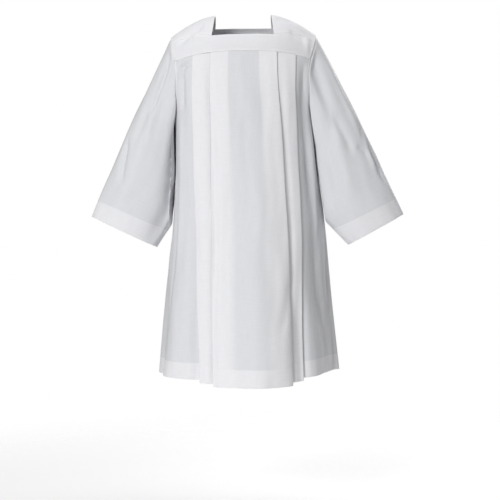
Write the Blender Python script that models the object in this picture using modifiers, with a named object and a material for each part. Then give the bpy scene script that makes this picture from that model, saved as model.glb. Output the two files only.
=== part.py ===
"""A white surplice, standing hollow in the shape it has when it is worn.

Metres, +Z up. The front faces -Y and the wearer's left is +X. The origin is on the shoulder line
midway across the neck opening, where the garment hangs on its wearer. Every piece is an open
surface worked out from the tables below and given its cloth thickness by Solidify.
"""

import math
from collections import namedtuple

import bpy
import numpy as np
from mathutils import Vector

FRONT, BACK = -1, 1
RIGHT, LEFT = -1, 1

# Cloth
PANEL_WALL = 0.0011
YOKE_WALL = 0.0020
SEAM_GAP = 0.0003
ARMHOLE_GAP = 0.0007
UNDERARM_GAP = 0.0018
LOW_ARMHOLE_START = -0.195
LOW_ARMHOLE_END = -0.240

# Yoke and shoulders
NECK_HALF = 0.083
SHOULDER_HALF = 0.216
SHOULDER_DROP = 0.063
SHOULDER_CURVE = 1.6
YOKE_NECK_ARC = 0.098
NECKLINE_TURN = {FRONT: 0.733, BACK: 0.460}
STRAP_RISE = 0.300
ARMHOLE_FLARE = 1.3
PLEAT_LIFT_START = 0.010
PLEAT_LIFT_END = 0.020

# Grids of the yoke's pieces
STRAP_COLUMNS = 6
NECK_COLUMNS = 4
STRAP_ROWS = 4
BAND_ROWS = 3
YOKE_EDGE_PLACE = 0.97

# Body
SQUARENESS = 2.5
YOKE_SEAM_HEIGHT = {FRONT: -0.123, BACK: -0.090}
YOKE_SEAM_DIP = {FRONT: 0.021, BACK: 0.030}
UNDERARM = -0.300
HEM_HEIGHT = -1.092
HEM_SIDE_RISE = 0.012
PLY_RISE = 0.8

Section = namedtuple("Section", "height half_width centre front back")
BODY = (
    Section(-0.060, 0.240, 0.000, 0.104, 0.106),
    Section(-0.144, 0.232, -0.004, 0.119, 0.119),
    Section(-0.210, 0.220, -0.006, 0.130, 0.127),
    Section(-0.300, 0.206, -0.004, 0.138, 0.130),
    Section(-0.420, 0.209, 0.001, 0.143, 0.132),
    Section(-0.600, 0.225, 0.007, 0.152, 0.140),
    Section(-0.850, 0.249, 0.002, 0.168, 0.156),
    Section(-1.100, 0.272, 0.001, 0.184, 0.174),
)

# The panel's edge beside the armhole: the part of the way from the yoke seam to the underarm, and
# the angle round from the middle of the front or back
Edge = namedtuple("Edge", "step angle")
ARMHOLE = (
    Edge(0.00, 55.5),
    Edge(0.16, 55.5),
    Edge(0.32, 57.5),
    Edge(0.48, 60.5),
    Edge(0.63, 64.0),
    Edge(0.77, 68.5),
    Edge(0.88, 73.5),
    Edge(0.96, 80.5),
    Edge(1.00, 90.0),
)

# Knife pleats, from the middle outwards, all folded away from the middle. The edges are the distances
# along the body from the middle to the fold that shows, at the pleat levels, which go from 0 at the
# yoke seam to 1 at the hem, and a depth is how far the ply runs back.
PLEAT_LEVELS = (0.0, 0.2, 0.45, 0.7, 1.0)
Pleat = namedtuple("Pleat", "edges depth_top depth_hem")
PLEATS = {
    (FRONT, LEFT): (
        Pleat((0.099, 0.106, 0.105, 0.114, 0.120), 0.051, 0.050),
        Pleat((0.156, 0.157, 0.153, 0.157, 0.159), 0.051, 0.046),
    ),
    (FRONT, RIGHT): (
        Pleat((0.093, 0.095, 0.105, 0.102, 0.097), 0.051, 0.050),
        Pleat((0.146, 0.150, 0.156, 0.150, 0.142), 0.051, 0.046),
    ),
    (BACK, LEFT): (
        Pleat((0.097, 0.101, 0.104, 0.110, 0.115), 0.051, 0.050),
        Pleat((0.152, 0.154, 0.155, 0.156, 0.158), 0.051, 0.046),
    ),
    (BACK, RIGHT): (
        Pleat((0.098, 0.102, 0.110, 0.115, 0.119), 0.051, 0.050),
        Pleat((0.152, 0.154, 0.159, 0.160, 0.161), 0.051, 0.046),
    ),
}
PLY_SPACING_TOP = 0.0018
PLY_SPACING_HEM = 0.0050

# Soft folds beside the pleats, as the distance back from the side seam, reach and height at the hem
Fold = namedtuple("Fold", "from_seam width height start")
BODY_FOLDS = {
    (FRONT, LEFT): (Fold(0.105, 0.075, -0.026, 0.10),),
    (FRONT, RIGHT): (Fold(0.060, 0.030, -0.012, 0.25), Fold(0.135, 0.050, 0.008, 0.15)),
    (BACK, LEFT): (Fold(0.070, 0.030, -0.013, 0.25), Fold(0.140, 0.030, 0.011, 0.20)),
    (BACK, RIGHT): (Fold(0.080, 0.032, -0.014, 0.30), Fold(0.150, 0.030, 0.010, 0.25)),
}

# A broad swell down each whole panel, as its distance left of the middle, reach and height
Swell = namedtuple("Swell", "place width height start")
BODY_SWELLS = {
    FRONT: Swell(0.030, 0.078, 0.038, 0.00),
    BACK: Swell(-0.030, 0.080, 0.012, 0.10),
}

# Levels of the panel rows below the armhole, 0 at the yoke seam and 1 at the hem
LOWER_LEVELS = (0.21, 0.29, 0.40, 0.54, 0.69, 0.84, 1.0)
SIDE_STEPS = 8
SEAM_FADE = 0.020
PLY_STATION_SPACE = 0.002
FOLD_ANGLES = (30.0, -30.0, -90.0)

# Sleeves, as the two ends of the cuff, which the outer and the inner line of the sleeve run to, and
# the part of the inner line that lies along the body before it swings out to the cuff
Sleeve = namedtuple("Sleeve", "side outer_cuff inner_cuff beside_body depth_cuff")
SLEEVES = {
    "sleeve_left": Sleeve(LEFT, (0.468, -0.600), (0.302, -0.689), 0.750, 0.064),
    "sleeve_right": Sleeve(RIGHT, (0.461, -0.593), (0.267, -0.688), 0.705, 0.058),
}
CUFF_FORWARD = 0.020
SLEEVE_DEPTH_MIDDLE = 0.068
OUTER_BULGE = 0.004
SWING_BEND = 0.35
BODY_CLEARANCE = 0.0045
SLEEVE_RINGS = (0.0, 0.05, 0.11, 0.18, 0.26, 0.35, 0.45, 0.56, 0.67, 0.78, 0.89, 1.0)
ARMHOLE_FADE = 0.40
SLEEVE_FOLD_FADE = 0.12

# Soft folds down the sleeves: place round the sleeve in degrees from the outer line through the
# front, reach in degrees, height, and the stretch of the sleeve that they cover
SleeveFold = namedtuple("SleeveFold", "place width height start end")
SLEEVE_FOLDS = {
    "sleeve_left": (
        SleeveFold(38.0, 16.0, -0.007, 0.02, 0.75),
        SleeveFold(78.0, 15.0, 0.007, 0.15, 1.05),
        SleeveFold(118.0, 16.0, -0.007, 0.10, 0.95),
        SleeveFold(235.0, 18.0, 0.007, 0.05, 1.05),
        SleeveFold(290.0, 18.0, -0.007, 0.05, 0.85),
    ),
    "sleeve_right": (
        SleeveFold(42.0, 15.0, -0.006, 0.02, 0.60),
        SleeveFold(72.0, 15.0, 0.006, 0.05, 1.00),
        SleeveFold(135.0, 16.0, -0.011, 0.05, 1.05),
        SleeveFold(240.0, 18.0, 0.006, 0.05, 1.05),
        SleeveFold(285.0, 18.0, -0.007, 0.10, 0.90),
    ),
}

CURVE_SAMPLES = 721
INSIDE_POINT = Vector((0.0, 0.0, -0.4))
NECK_COLUMN = NECK_HALF / SHOULDER_HALF


def column(table, name):
    """One named column of a table, as an array."""
    return np.array([getattr(row, name) for row in table])


def smooth_lookup(x, knots, values):
    """Cubic Hermite curve through a table, with slopes taken across each knot's neighbours."""
    order = np.argsort(knots)
    knots, values = knots[order], values[order]
    slopes = np.gradient(values, knots)
    x = np.clip(x, knots[0], knots[-1])
    i = np.clip(np.searchsorted(knots, x) - 1, 0, len(knots) - 2)
    span = knots[i + 1] - knots[i]
    t = (x - knots[i]) / span
    return (
        values[i] * (1 + 2 * t) * (1 - t) ** 2
        + slopes[i] * span * t * (1 - t) ** 2
        + values[i + 1] * t**2 * (3 - 2 * t)
        + slopes[i + 1] * span * t**2 * (t - 1)
    )


def smoothstep(t):
    t = np.clip(t, 0.0, 1.0)
    return t * t * (3.0 - 2.0 * t)


def bent_ramp(t, bend):
    """0 up to t = 0, then a bend into a straight line, which reaches 1 at t = 1."""
    t = max(t, 0.0)
    return (t * t / (2 * bend) if t < bend else t - bend / 2) / (1 - bend / 2)


def mix(a, b, t):
    return a + (b - a) * t


def unit(vectors):
    return vectors / np.linalg.norm(vectors, axis=-1, keepdims=True)


def row_height(angle, level, face):
    """Height of a panel row at each angle round the body: an arch at the yoke, level at the hem."""
    side = np.sin(np.radians(angle)) ** 2
    armhole_side = math.sin(math.radians(ARMHOLE[0].angle)) ** 2
    top = YOKE_SEAM_HEIGHT[face] - YOKE_SEAM_DIP[face] * side / armhole_side
    hem = HEM_HEIGHT + HEM_SIDE_RISE * side
    return mix(top, hem, level)


def panel_levels(face):
    """Each row's level, and the angle at which it ends at the armhole or the side seam."""
    top, hem = row_height(90.0, 0.0, face), row_height(90.0, 1.0, face)
    underarm_level = (UNDERARM - top) / (hem - top)
    beside = [(edge.step * underarm_level, edge.angle) for edge in ARMHOLE]
    return beside + [(level, ARMHOLE[-1].angle) for level in LOWER_LEVELS]


def body_size(name, height):
    return smooth_lookup(height, column(BODY, "height"), column(BODY, name))


def body_depth(depth_place, height):
    """Depth of the body's front or back, whichever those places are on."""
    return np.where(depth_place < 0, body_size("front", height), body_size("back", height))


def body_side(side, depth_place, height):
    """How far out the body's side lies, on the wearer's given side, at those depths and heights."""
    inside = 1.0 - (np.abs(depth_place) / body_depth(depth_place, height)) ** SQUARENESS
    half_width = body_size("half_width", height) * np.clip(inside, 0.0, 1.0) ** (1.0 / SQUARENESS)
    return side * body_size("centre", height) + half_width


def body_outward(side, points):
    """Level directions straight out of the body's surface at those points on the given side."""
    depth_place, height = points[:, 1], points[:, 2]
    across = np.abs(points[:, 0] - body_size("centre", height))
    width, depth = body_size("half_width", height), body_depth(depth_place, height)
    power = SQUARENESS - 1.0
    steep_x = side * (across / width) ** power / width
    steep_y = np.sign(depth_place) * (np.abs(depth_place) / depth) ** power / depth
    return unit(np.column_stack([steep_x, steep_y, np.zeros(len(points))]))


class BodyRow:
    """The body's own line along one panel row, with nothing folded, read by distance along it."""

    def __init__(self, level, face, reach):
        angle = np.linspace(-reach, reach, CURVE_SAMPLES)
        turn = np.radians(angle)
        height = row_height(angle, level, face)
        depth = body_size("front" if face == FRONT else "back", height)
        power = 2.0 / SQUARENESS
        across = np.sign(np.sin(turn)) * np.abs(np.sin(turn)) ** power
        x = body_size("centre", height) + body_size("half_width", height) * across
        y = face * (depth * np.abs(np.cos(turn)) ** power + SEAM_GAP / 2)
        self.points = np.column_stack([x, y, height])
        steps = np.hypot(np.diff(x), np.diff(y))
        along = np.concatenate([[0.0], np.cumsum(steps)])
        self.along = along - along[CURVE_SAMPLES // 2]
        ahead = np.gradient(self.points[:, :2], axis=0)
        outward = unit(np.column_stack([ahead[:, 1], -ahead[:, 0]]))
        self.normals = outward * (1.0 if face == FRONT else -1.0)

    def ends(self):
        return self.along[0], self.along[-1]

    def at(self, along, offset):
        """Points at those distances along the row, moved outwards by offset."""
        out = np.empty((len(along), 3))
        for axis in range(3):
            out[:, axis] = np.interp(along, self.along, self.points[:, axis])
        for axis in range(2):
            out[:, axis] += np.interp(along, self.along, self.normals[:, axis]) * offset
        return out


def half_section(pleats, level, end):
    """Section of half a panel as distances along the body and offsets, from the middle to the edge.

    Each pleat runs out to its edge, turns back under itself, turns again and goes on below. Plies
    that lie on each other have their points at the same distances, so that they stay parallel."""
    spacing = mix(PLY_SPACING_TOP, PLY_SPACING_HEM, level)
    radius = spacing / 2
    along, offset = [0.0], [2 * len(pleats) * spacing]

    def run_through(*stations):
        for station in stations:
            along.append(station)
            offset.append(offset[-1])

    def turn(direction):
        centre_along, centre_offset = along[-1], offset[-1] - radius
        for angle in FOLD_ANGLES:
            along.append(centre_along + direction * radius * math.cos(math.radians(angle)))
            offset.append(centre_offset + radius * math.sin(math.radians(angle)))

    middle = edge = None
    for pleat in pleats:
        last_middle, last_edge = middle, edge
        edge = smooth_lookup(level, np.array(PLEAT_LEVELS), np.array(pleat.edges))
        back = edge - mix(pleat.depth_top, pleat.depth_hem, level)
        middle = (edge + back) / 2
        if last_edge is None:
            run_through(back)
        else:
            centre = (last_edge + back) / 2
            half = max(abs(last_edge - back) / 2, PLY_STATION_SPACE)
            run_through(last_middle, centre - half, centre + half)
        run_through(middle, edge - radius)
        turn(1)
        run_through(middle, back + radius)
        turn(-1)
    run_through(middle)
    run_through(*[mix(edge, end, i / SIDE_STEPS) for i in range(SIDE_STEPS + 1)])
    return np.array(along), np.array(offset)


def bell(distance, size, level):
    """A bell-shaped push of a fold or swell that grows from nothing towards the hem."""
    grown = smoothstep((level - size.start) / (1.0 - size.start))
    return size.height * grown * np.exp(-((distance / size.width) ** 2))


def soft_folds(folds, along, level, end):
    """Outward push of the soft folds beside the pleats, still at the side seam."""
    push = np.zeros(len(along))
    for fold in folds:
        push += bell(end - fold.from_seam - along, fold, level)
    return push * smoothstep((end - along) / SEAM_FADE)


def panel_row(level, face, reach):
    """All the points of one panel row, from the wearer's right edge to the left one."""
    row = BodyRow(level, face, reach)
    halves = {}
    for side, end in zip((RIGHT, LEFT), row.ends()):
        along, offset = half_section(PLEATS[face, side], level, abs(end))
        top_offset = offset[0]
        push = soft_folds(BODY_FOLDS[face, side], along, level, abs(end))
        push += bell(side * along - BODY_SWELLS[face].place, BODY_SWELLS[face], level)
        points = row.at(side * along, offset + push)
        points[:, 2] += PLY_RISE * (top_offset - offset) * level**3
        halves[side] = points
    return np.vstack([halves[RIGHT][:0:-1], halves[LEFT]])


def panel_grid(face):
    return np.array([panel_row(level, face, reach) for level, reach in panel_levels(face)])


class YokeSurface:
    """The yoke's surface over one face: from the shoulder line down to the seam with the panel.

    A column is -1 at the wearer's right armhole, 0 in the middle and 1 at the left armhole. The
    turn is 0 on the shoulder line and 1 at the panel seam, a quarter ellipse between them."""

    def __init__(self, face):
        self.face = face
        self.row = BodyRow(0.0, face, ARMHOLE[0].angle)
        self.reach = self.row.ends()[1]

    def seam(self, column_place):
        """The lower edge, standing out over the pleats that are caught in the seam."""
        place = abs(column_place)
        if place <= NECK_COLUMN:
            along = YOKE_NECK_ARC * place / NECK_COLUMN
        else:
            along = mix(YOKE_NECK_ARC, self.reach, (place - NECK_COLUMN) / (1.0 - NECK_COLUMN))
        pleats = PLEATS[self.face, LEFT]
        stack = 2 * len(pleats) * PLY_SPACING_TOP
        lift_start = pleats[0].edges[0] - PLEAT_LIFT_START
        lift_end = pleats[-1].edges[0] + PLEAT_LIFT_END
        lift = stack * (1.0 - smoothstep((along - lift_start) / (lift_end - lift_start)))
        side = math.copysign(1.0, column_place)
        point = self.row.at(np.array([side * along]), np.array([lift]))[0]
        point[2] += SEAM_GAP
        return point

    def shoulder(self, column_place):
        """The shoulder line, level across the neck and then falling away to the shoulder point."""
        place = abs(column_place) * SHOULDER_HALF
        beyond = max(0.0, (place - NECK_HALF) / (SHOULDER_HALF - NECK_HALF))
        drop = SHOULDER_DROP * beyond**SHOULDER_CURVE
        return np.array([math.copysign(place, column_place), 0.0, -drop])

    def at(self, column_place, turn):
        top, low = self.shoulder(column_place), self.seam(column_place)
        angle = math.radians(90.0 * turn)
        x = mix(top[0], low[0], (1.0 - math.cos(angle)) ** ARMHOLE_FLARE)
        y = mix(top[1], low[1], math.sin(angle))
        z = mix(low[2], top[2], math.cos(angle))
        return np.array([x, y, z])

    def strap_turn(self, column_place):
        """The turn of the seam between the shoulder piece and the band, rising to the armhole."""
        beyond = (abs(column_place) - NECK_COLUMN) / (1.0 - NECK_COLUMN)
        return NECKLINE_TURN[self.face] * (1.0 - STRAP_RISE * max(0.0, beyond))


def strap_places():
    """The columns of a shoulder piece, from the neck to the armhole."""
    return [mix(NECK_COLUMN, 1.0, i / STRAP_COLUMNS) for i in range(STRAP_COLUMNS + 1)]


def half_gap_turn(surface, place):
    """Half the seam gap, as a part of the quarter turn at that column, taken as a round arc."""
    chord = np.linalg.norm(surface.at(place, 1.0) - surface.at(place, 0.0))
    return SEAM_GAP / 2 / (chord * math.pi / math.sqrt(8.0))


def band_grid(face):
    """A yoke band, from armhole to armhole, with the neckline along the middle of its upper edge."""
    surface = YokeSurface(face)
    half = [NECK_COLUMN * i / NECK_COLUMNS for i in range(NECK_COLUMNS)] + strap_places()
    places = [-place for place in half[:0:-1]] + half
    grid = []
    for row in range(BAND_ROWS + 1):
        line = []
        for place in places:
            top = surface.strap_turn(place) + half_gap_turn(surface, place)
            line.append(surface.at(place, mix(top, 1.0, row / BAND_ROWS)))
        grid.append(line)
    return np.array(grid)


def strap_grid(side):
    """A shoulder piece, from the front band over the shoulder to the back band."""
    places = [side * place for place in strap_places()]
    rows = []
    for face, steps in ((FRONT, range(STRAP_ROWS, 0, -1)), (BACK, range(STRAP_ROWS + 1))):
        surface = YokeSurface(face)
        ends = [surface.strap_turn(place) - half_gap_turn(surface, place) for place in places]
        for step in steps:
            rows.append([surface.at(place, end * step / STRAP_ROWS) for place, end in zip(places, ends)])
    return np.array(rows)


def low_armhole(height):
    """0 beside the upper armhole and 1 beside its lower curve, which the sleeve hangs over."""
    return smoothstep((LOW_ARMHOLE_START - height) / (LOW_ARMHOLE_START - LOW_ARMHOLE_END))


def armhole_loop(side):
    """Points round an armhole, from the shoulder point through the front, and where a sleeve starts.

    The sleeve leaves the upper armhole along the cloth, and hangs outside the body at the underarm."""
    points, starts = [], []
    for face in (FRONT, BACK):
        surface = YokeSurface(face)
        end = surface.strap_turn(side)
        turns = [end * i / STRAP_ROWS for i in range(STRAP_ROWS)]
        turns += [mix(end, 1.0, i / BAND_ROWS) for i in range(BAND_ROWS)]
        half = [surface.at(side, turn) for turn in turns]
        before = [surface.at(side * YOKE_EDGE_PLACE, turn) for turn in turns]
        for row in panel_grid(face)[: len(ARMHOLE)]:
            half.append(row[-1] if side == LEFT else row[0])
            before.append(row[-2] if side == LEFT else row[1])
        half = np.array(half)
        along_cloth = unit(half - np.array(before))
        low = low_armhole(half[:, 2])[:, None]
        way = unit(mix(along_cloth, body_outward(side, half), low))
        points.append(half)
        starts.append(half + way * mix(ARMHOLE_GAP, UNDERARM_GAP, low))
    underarm = len(points[0]) - 1
    loop = np.vstack([points[0], points[1][-2:0:-1]])
    start = np.vstack([starts[0], starts[1][-2:0:-1]])
    return loop, start, underarm


def loop_turns(loop, underarm):
    """The angle round the sleeve of each point: 0 on the outer line, 180 at the underarm."""
    closed = np.vstack([loop, loop[:1]])
    steps = np.linalg.norm(np.diff(closed, axis=0), axis=1)
    along = np.concatenate([[0.0], np.cumsum(steps)])
    knots = np.array([0.0, along[underarm], along[-1]])
    return np.interp(along[:-1], knots, np.array([0.0, 180.0, 360.0]))


def sleeve_folds(name, turns, t):
    push = np.zeros(len(turns))
    for fold in SLEEVE_FOLDS[name]:
        middle, half = (fold.start + fold.end) / 2, (fold.end - fold.start) / 2
        reach = math.cos(math.pi / 2 * min(1.0, abs(t - middle) / half)) ** 2
        push += fold.height * reach * np.exp(-(((turns - fold.place) / fold.width) ** 2))
    return push * smoothstep(t / SLEEVE_FOLD_FADE)


def inner_line(sleeve, start_height, t):
    """The low line of a sleeve: down the body's side, then outwards to the low end of the cuff."""
    height = mix(start_height, sleeve.inner_cuff[1], t)
    beside = body_side(sleeve.side, 0.0, height) + BODY_CLEARANCE
    swing = bent_ramp((t - sleeve.beside_body) / (1.0 - sleeve.beside_body), SWING_BEND)
    cuff_excess = sleeve.inner_cuff[0] - (
        body_side(sleeve.side, 0.0, sleeve.inner_cuff[1]) + BODY_CLEARANCE
    )
    return np.array([beside + cuff_excess * swing, height])


def sleeve_grid(name):
    """Rings from the armhole to the cuff, each an oval that takes the armhole's shape at the top."""
    sleeve = SLEEVES[name]
    side = sleeve.side
    loop, start, underarm = armhole_loop(side)
    turns = loop_turns(loop, underarm)
    cosine, sine = np.cos(np.radians(turns)), np.sin(np.radians(turns))
    shoulder = np.array([abs(start[0, 0]), start[0, 2]])
    start_depth = np.abs(start[:, 1]).max()
    rings = []
    for t in SLEEVE_RINGS:
        outer = mix(shoulder, np.array(sleeve.outer_cuff), t)
        outer[0] += OUTER_BULGE * 4 * t * (1 - t)
        inner = inner_line(sleeve, start[underarm, 2], t)
        middle, reach = (outer + inner) / 2, (outer - inner) / 2
        depth = mix(mix(start_depth, sleeve.depth_cuff, t), SLEEVE_DEPTH_MIDDLE, 4 * t * (1 - t))
        size = 1.0 + sleeve_folds(name, turns, t) / np.hypot(np.hypot(*reach) * cosine, depth * sine)
        rings.append(
            np.column_stack(
                [
                    middle[0] + reach[0] * cosine * size,
                    -depth * sine * size - CUFF_FORWARD * smoothstep(t),
                    middle[1] + reach[1] * cosine * size,
                ]
            )
        )
    outward_start = start * [side, 1.0, 1.0]
    difference = outward_start - rings[0]
    for ring, t in zip(rings, SLEEVE_RINGS):
        ring += difference * (1.0 - smoothstep(t / ARMHOLE_FADE))
        if t > 0:
            limit = body_side(side, ring[:, 1], ring[:, 2]) + BODY_CLEARANCE
            beside = low_armhole(ring[:, 2])
            ring[:, 0] += beside * np.maximum(limit - ring[:, 0], 0.0)
    return np.array(rings) * [side, 1.0, 1.0]


def cloth_material(name, colour, roughness):
    material = bpy.data.materials.new(name)
    material.use_nodes = True
    shader = material.node_tree.nodes["Principled BSDF"]
    shader.inputs["Base Color"].default_value = (*colour, 1.0)
    shader.inputs["Roughness"].default_value = roughness
    shader.inputs["Metallic"].default_value = 0.0
    return material


def cloth_piece(name, grid, wall, material, collection, ring=False):
    """An object whose open surface runs through the grid's points, with its wall from Solidify."""
    rows, columns = grid.shape[:2]
    faces = []
    for i in range(rows - 1):
        for j in range(columns if ring else columns - 1):
            here, beside = i * columns + j, i * columns + (j + 1) % columns
            faces.append((here, beside, beside + columns, here + columns))
    mesh = bpy.data.meshes.new(name)
    mesh.from_pydata(grid.reshape(-1, 3).tolist(), [], faces)
    inside = Vector(grid.mean(axis=(0, 1))) if ring else INSIDE_POINT
    middle = mesh.polygons[len(mesh.polygons) // 2]
    if middle.normal.dot(middle.center - inside) < 0:
        mesh.flip_normals()
    mesh.materials.append(material)
    mesh.shade_smooth()
    piece = bpy.data.objects.new(name, mesh)
    collection.objects.link(piece)
    thickness = piece.modifiers.new("Cloth thickness", "SOLIDIFY")
    thickness.thickness = wall
    thickness.offset = 0.0
    thickness.use_quality_normals = True


def main():
    for obj in list(bpy.data.objects):
        bpy.data.objects.remove(obj)
    surplice = bpy.data.collections.new("Surplice")
    bpy.context.scene.collection.children.link(surplice)
    single = cloth_material("White polyester and cotton", (0.80, 0.81, 0.83), 0.85)
    doubled = cloth_material("White polyester and cotton, doubled", (0.88, 0.88, 0.89), 0.85)

    for name, face in (("front_panel", FRONT), ("back_panel", BACK)):
        cloth_piece(name, panel_grid(face), PANEL_WALL, single, surplice)
    for name, face in (("front_yoke_band", FRONT), ("back_yoke_band", BACK)):
        cloth_piece(name, band_grid(face), YOKE_WALL, doubled, surplice)
    for name, side in (("shoulder_yoke_left", LEFT), ("shoulder_yoke_right", RIGHT)):
        cloth_piece(name, strap_grid(side), YOKE_WALL, doubled, surplice)
    for name in SLEEVES:
        cloth_piece(name, sleeve_grid(name), PANEL_WALL, single, surplice, ring=True)


main()
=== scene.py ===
"""The looks of a white pleated surplice, hollow and in the shape it has when it is worn.

Metres, +Z up. The front faces -Y and the wearer's left is +X. The origin is on the shoulder line
midway across the neck opening. Every piece is a surface worked out with numpy from the sizes below,
given the cloth's thickness on both sides, and it stands in for its plain solid.
"""

import logging
import math
from dataclasses import dataclass, field
from enum import Enum

import bpy
import numpy as np
from mathutils import Euler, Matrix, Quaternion, Vector


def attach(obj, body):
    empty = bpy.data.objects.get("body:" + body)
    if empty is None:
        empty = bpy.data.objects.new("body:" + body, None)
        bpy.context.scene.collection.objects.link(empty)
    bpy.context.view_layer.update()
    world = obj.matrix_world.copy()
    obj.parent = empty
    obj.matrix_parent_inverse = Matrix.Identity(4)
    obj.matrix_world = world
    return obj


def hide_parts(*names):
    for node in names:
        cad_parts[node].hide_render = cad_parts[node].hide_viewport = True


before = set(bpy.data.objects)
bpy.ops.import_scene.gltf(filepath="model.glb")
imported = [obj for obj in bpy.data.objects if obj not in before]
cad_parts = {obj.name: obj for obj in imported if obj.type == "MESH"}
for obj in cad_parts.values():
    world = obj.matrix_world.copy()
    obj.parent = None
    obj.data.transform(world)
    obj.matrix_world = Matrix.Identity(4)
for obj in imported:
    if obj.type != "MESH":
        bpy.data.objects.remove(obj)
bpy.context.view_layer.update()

Array = np.ndarray
Vertices = tuple[float, float, float]
log = logging.getLogger("surplice")

MM = 0.001


class Face(Enum):
    """The front or the back of the garment. The value is the way it faces along Y."""

    FRONT = -1
    BACK = 1


class Side(Enum):
    """The wearer's right or left. The value is the way it lies along X."""

    RIGHT = -1
    LEFT = 1


class Slot(Enum):
    """The record's material slots."""

    SINGLE = "single_cloth"
    DOUBLED = "doubled_cloth"


def mix(a: Array, b: Array, t: Array) -> Array:
    """The value a share t of the way from a to b."""
    return a + (b - a) * t


def smoothstep(t: Array) -> Array:
    """An even rise from 0 at t = 0 to 1 at t = 1, flat at both ends: 3t squared less 2t cubed."""
    t = np.clip(t, 0.0, 1.0)
    return t * t * (3.0 - 2.0 * t)


def bent_ramp(t: Array, bend: float) -> Array:
    """0 up to t = 0, then a bend (t squared / 2 bend) into a straight line to 1 at t = 1."""
    t = np.maximum(t, 0.0)
    return np.where(t < bend, t * t / (2.0 * bend), t - bend / 2) / (1.0 - bend / 2)


def unit(vectors: Array) -> Array:
    """The same directions with length 1."""
    return vectors / np.maximum(np.linalg.norm(vectors, axis=-1, keepdims=True), 1e-12)


def lengths(points: Array, axis: int) -> Array:
    """Distance covered along an axis of a grid of points, from 0 at its first point.

    Args:
        points: grid of points, with the coordinates last.
        axis: the axis of the grid to follow.

    Returns:
        The running length at each point.
    """
    steps = np.linalg.norm(np.diff(points, axis=axis), axis=-1)
    start = np.zeros_like(np.take(steps, [0], axis=axis))
    return np.concatenate([start, np.cumsum(steps, axis=axis)], axis=axis)


def smooth_lookup(x: Array, knots: Array, values: Array) -> Array:
    """Cubic Hermite curve through a table, with slopes taken across each knot's neighbours.

    Args:
        x: where to read the curve.
        knots: the table's places, in any order.
        values: the table's values.

    Returns:
        The curve's value at each x, held level past the table's ends.
    """
    order = np.argsort(knots)
    knots, values = np.asarray(knots, float)[order], np.asarray(values, float)[order]
    slopes = np.gradient(values, knots)
    x = np.clip(x, knots[0], knots[-1])
    i = np.clip(np.searchsorted(knots, x) - 1, 0, len(knots) - 2)
    span = knots[i + 1] - knots[i]
    t = (x - knots[i]) / span
    return (
        values[i] * (1 + 2 * t) * (1 - t) ** 2
        + slopes[i] * span * t * (1 - t) ** 2
        + values[i + 1] * t**2 * (3 - 2 * t)
        + slopes[i + 1] * span * t**2 * (t - 1)
    )


def interp_rows(query: Array, knots: Array, values: Array) -> Array:
    """Reads each row of a table at its own places, all rows in one call.

    Row number n is moved along by n times a step longer than any row, so that the rows follow each
    other on one line, and one linear reading serves them all.

    Args:
        query: places to read, rows by columns.
        knots: rising places of the table, rows by samples.
        values: values of the table, rows by samples.

    Returns:
        The values read, rows by columns.
    """
    query = np.clip(query, knots[:, :1], knots[:, -1:])
    step = 2.0 * (knots[:, -1] - knots[:, 0]).max() + 1.0
    moved = np.arange(len(knots))[:, None] * step
    read = np.interp((query + moved).ravel(), (knots + moved).ravel(), values.ravel())
    return read.reshape(query.shape)


def surface_normals(grid: Array, outward: int, ring: bool) -> Array:
    """Directions out of a surface: the cross product of its steps along columns and along rows.

    Args:
        grid: points, rows by columns by 3.
        outward: 1 where that product already points out of the garment, and -1 where it points in.
        ring: whether the last column joins the first.

    Returns:
        Unit directions out of the garment, one for each point.
    """
    down = np.gradient(grid, axis=0)
    across = np.roll(grid, -1, 1) - np.roll(grid, 1, 1) if ring else np.gradient(grid, axis=1)
    return outward * unit(np.cross(across, down))


@dataclass(frozen=True)
class Crease:
    """A soft ridge, or a trough where its height is negative, on a piece's own u and v in metres."""

    start: tuple[float, float]
    end: tuple[float, float]
    width: float
    height: float
    bow: float = 0.0
    fade: float = 0.3


def crease_push(u: Array, v: Array, creases: tuple[Crease, ...]) -> Array:
    """How far the creases push the cloth out.

    Each is a bell curve across its line, exp(-(distance / width) squared), that rises and dies away
    along the line over the share that fade gives. The line bows aside by a half sine.

    Args:
        u: distance across the piece.
        v: distance down the piece.
        creases: the creases on it.

    Returns:
        The push out of the garment, in metres.
    """
    push = np.zeros(np.broadcast(u, v).shape)
    for crease in creases:
        run_u, run_v = crease.end[0] - crease.start[0], crease.end[1] - crease.start[1]
        reach = math.hypot(run_u, run_v)
        from_u, from_v = u - crease.start[0], v - crease.start[1]
        share = (from_u * run_u + from_v * run_v) / reach**2
        aside = (from_u * run_v - from_v * run_u) / reach
        aside = aside - crease.bow * np.sin(math.pi * np.clip(share, 0.0, 1.0))
        grown = smoothstep(share / crease.fade) * smoothstep((1.0 - share) / crease.fade)
        push += crease.height * grown * np.exp(-((aside / crease.width) ** 2))
    return push


def ripple(u: Array, v: Array, seed: int, height: float, slant: float) -> Array:
    """The slight unevenness of hanging cloth: a sum of sines with drawn wavelengths and directions.

    Args:
        u: distance across the piece.
        v: distance down the piece.
        seed: of the draw, so that it is the same each time.
        height: of the tallest sine, in metres.
        slant: the most that a wave's crest leans out of the upright, in radians.

    Returns:
        The push out of the garment, in metres.
    """
    draw = np.random.default_rng(seed)
    push = np.zeros(np.broadcast(u, v).shape)
    for wavelength in (0.140, 0.095, 0.062, 0.041, 0.027):
        lean = draw.uniform(-slant, slant)
        phase = draw.uniform(0.0, 2.0 * math.pi)
        swing = 0.35 * np.sin(2.0 * math.pi * v / draw.uniform(0.25, 0.45) + phase)
        across = u * math.cos(lean) + v * math.sin(lean)
        share = wavelength / 0.140
        push += height * share * np.sin(2.0 * math.pi * across / wavelength + phase + 4.0 * swing)
    return push


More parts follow.
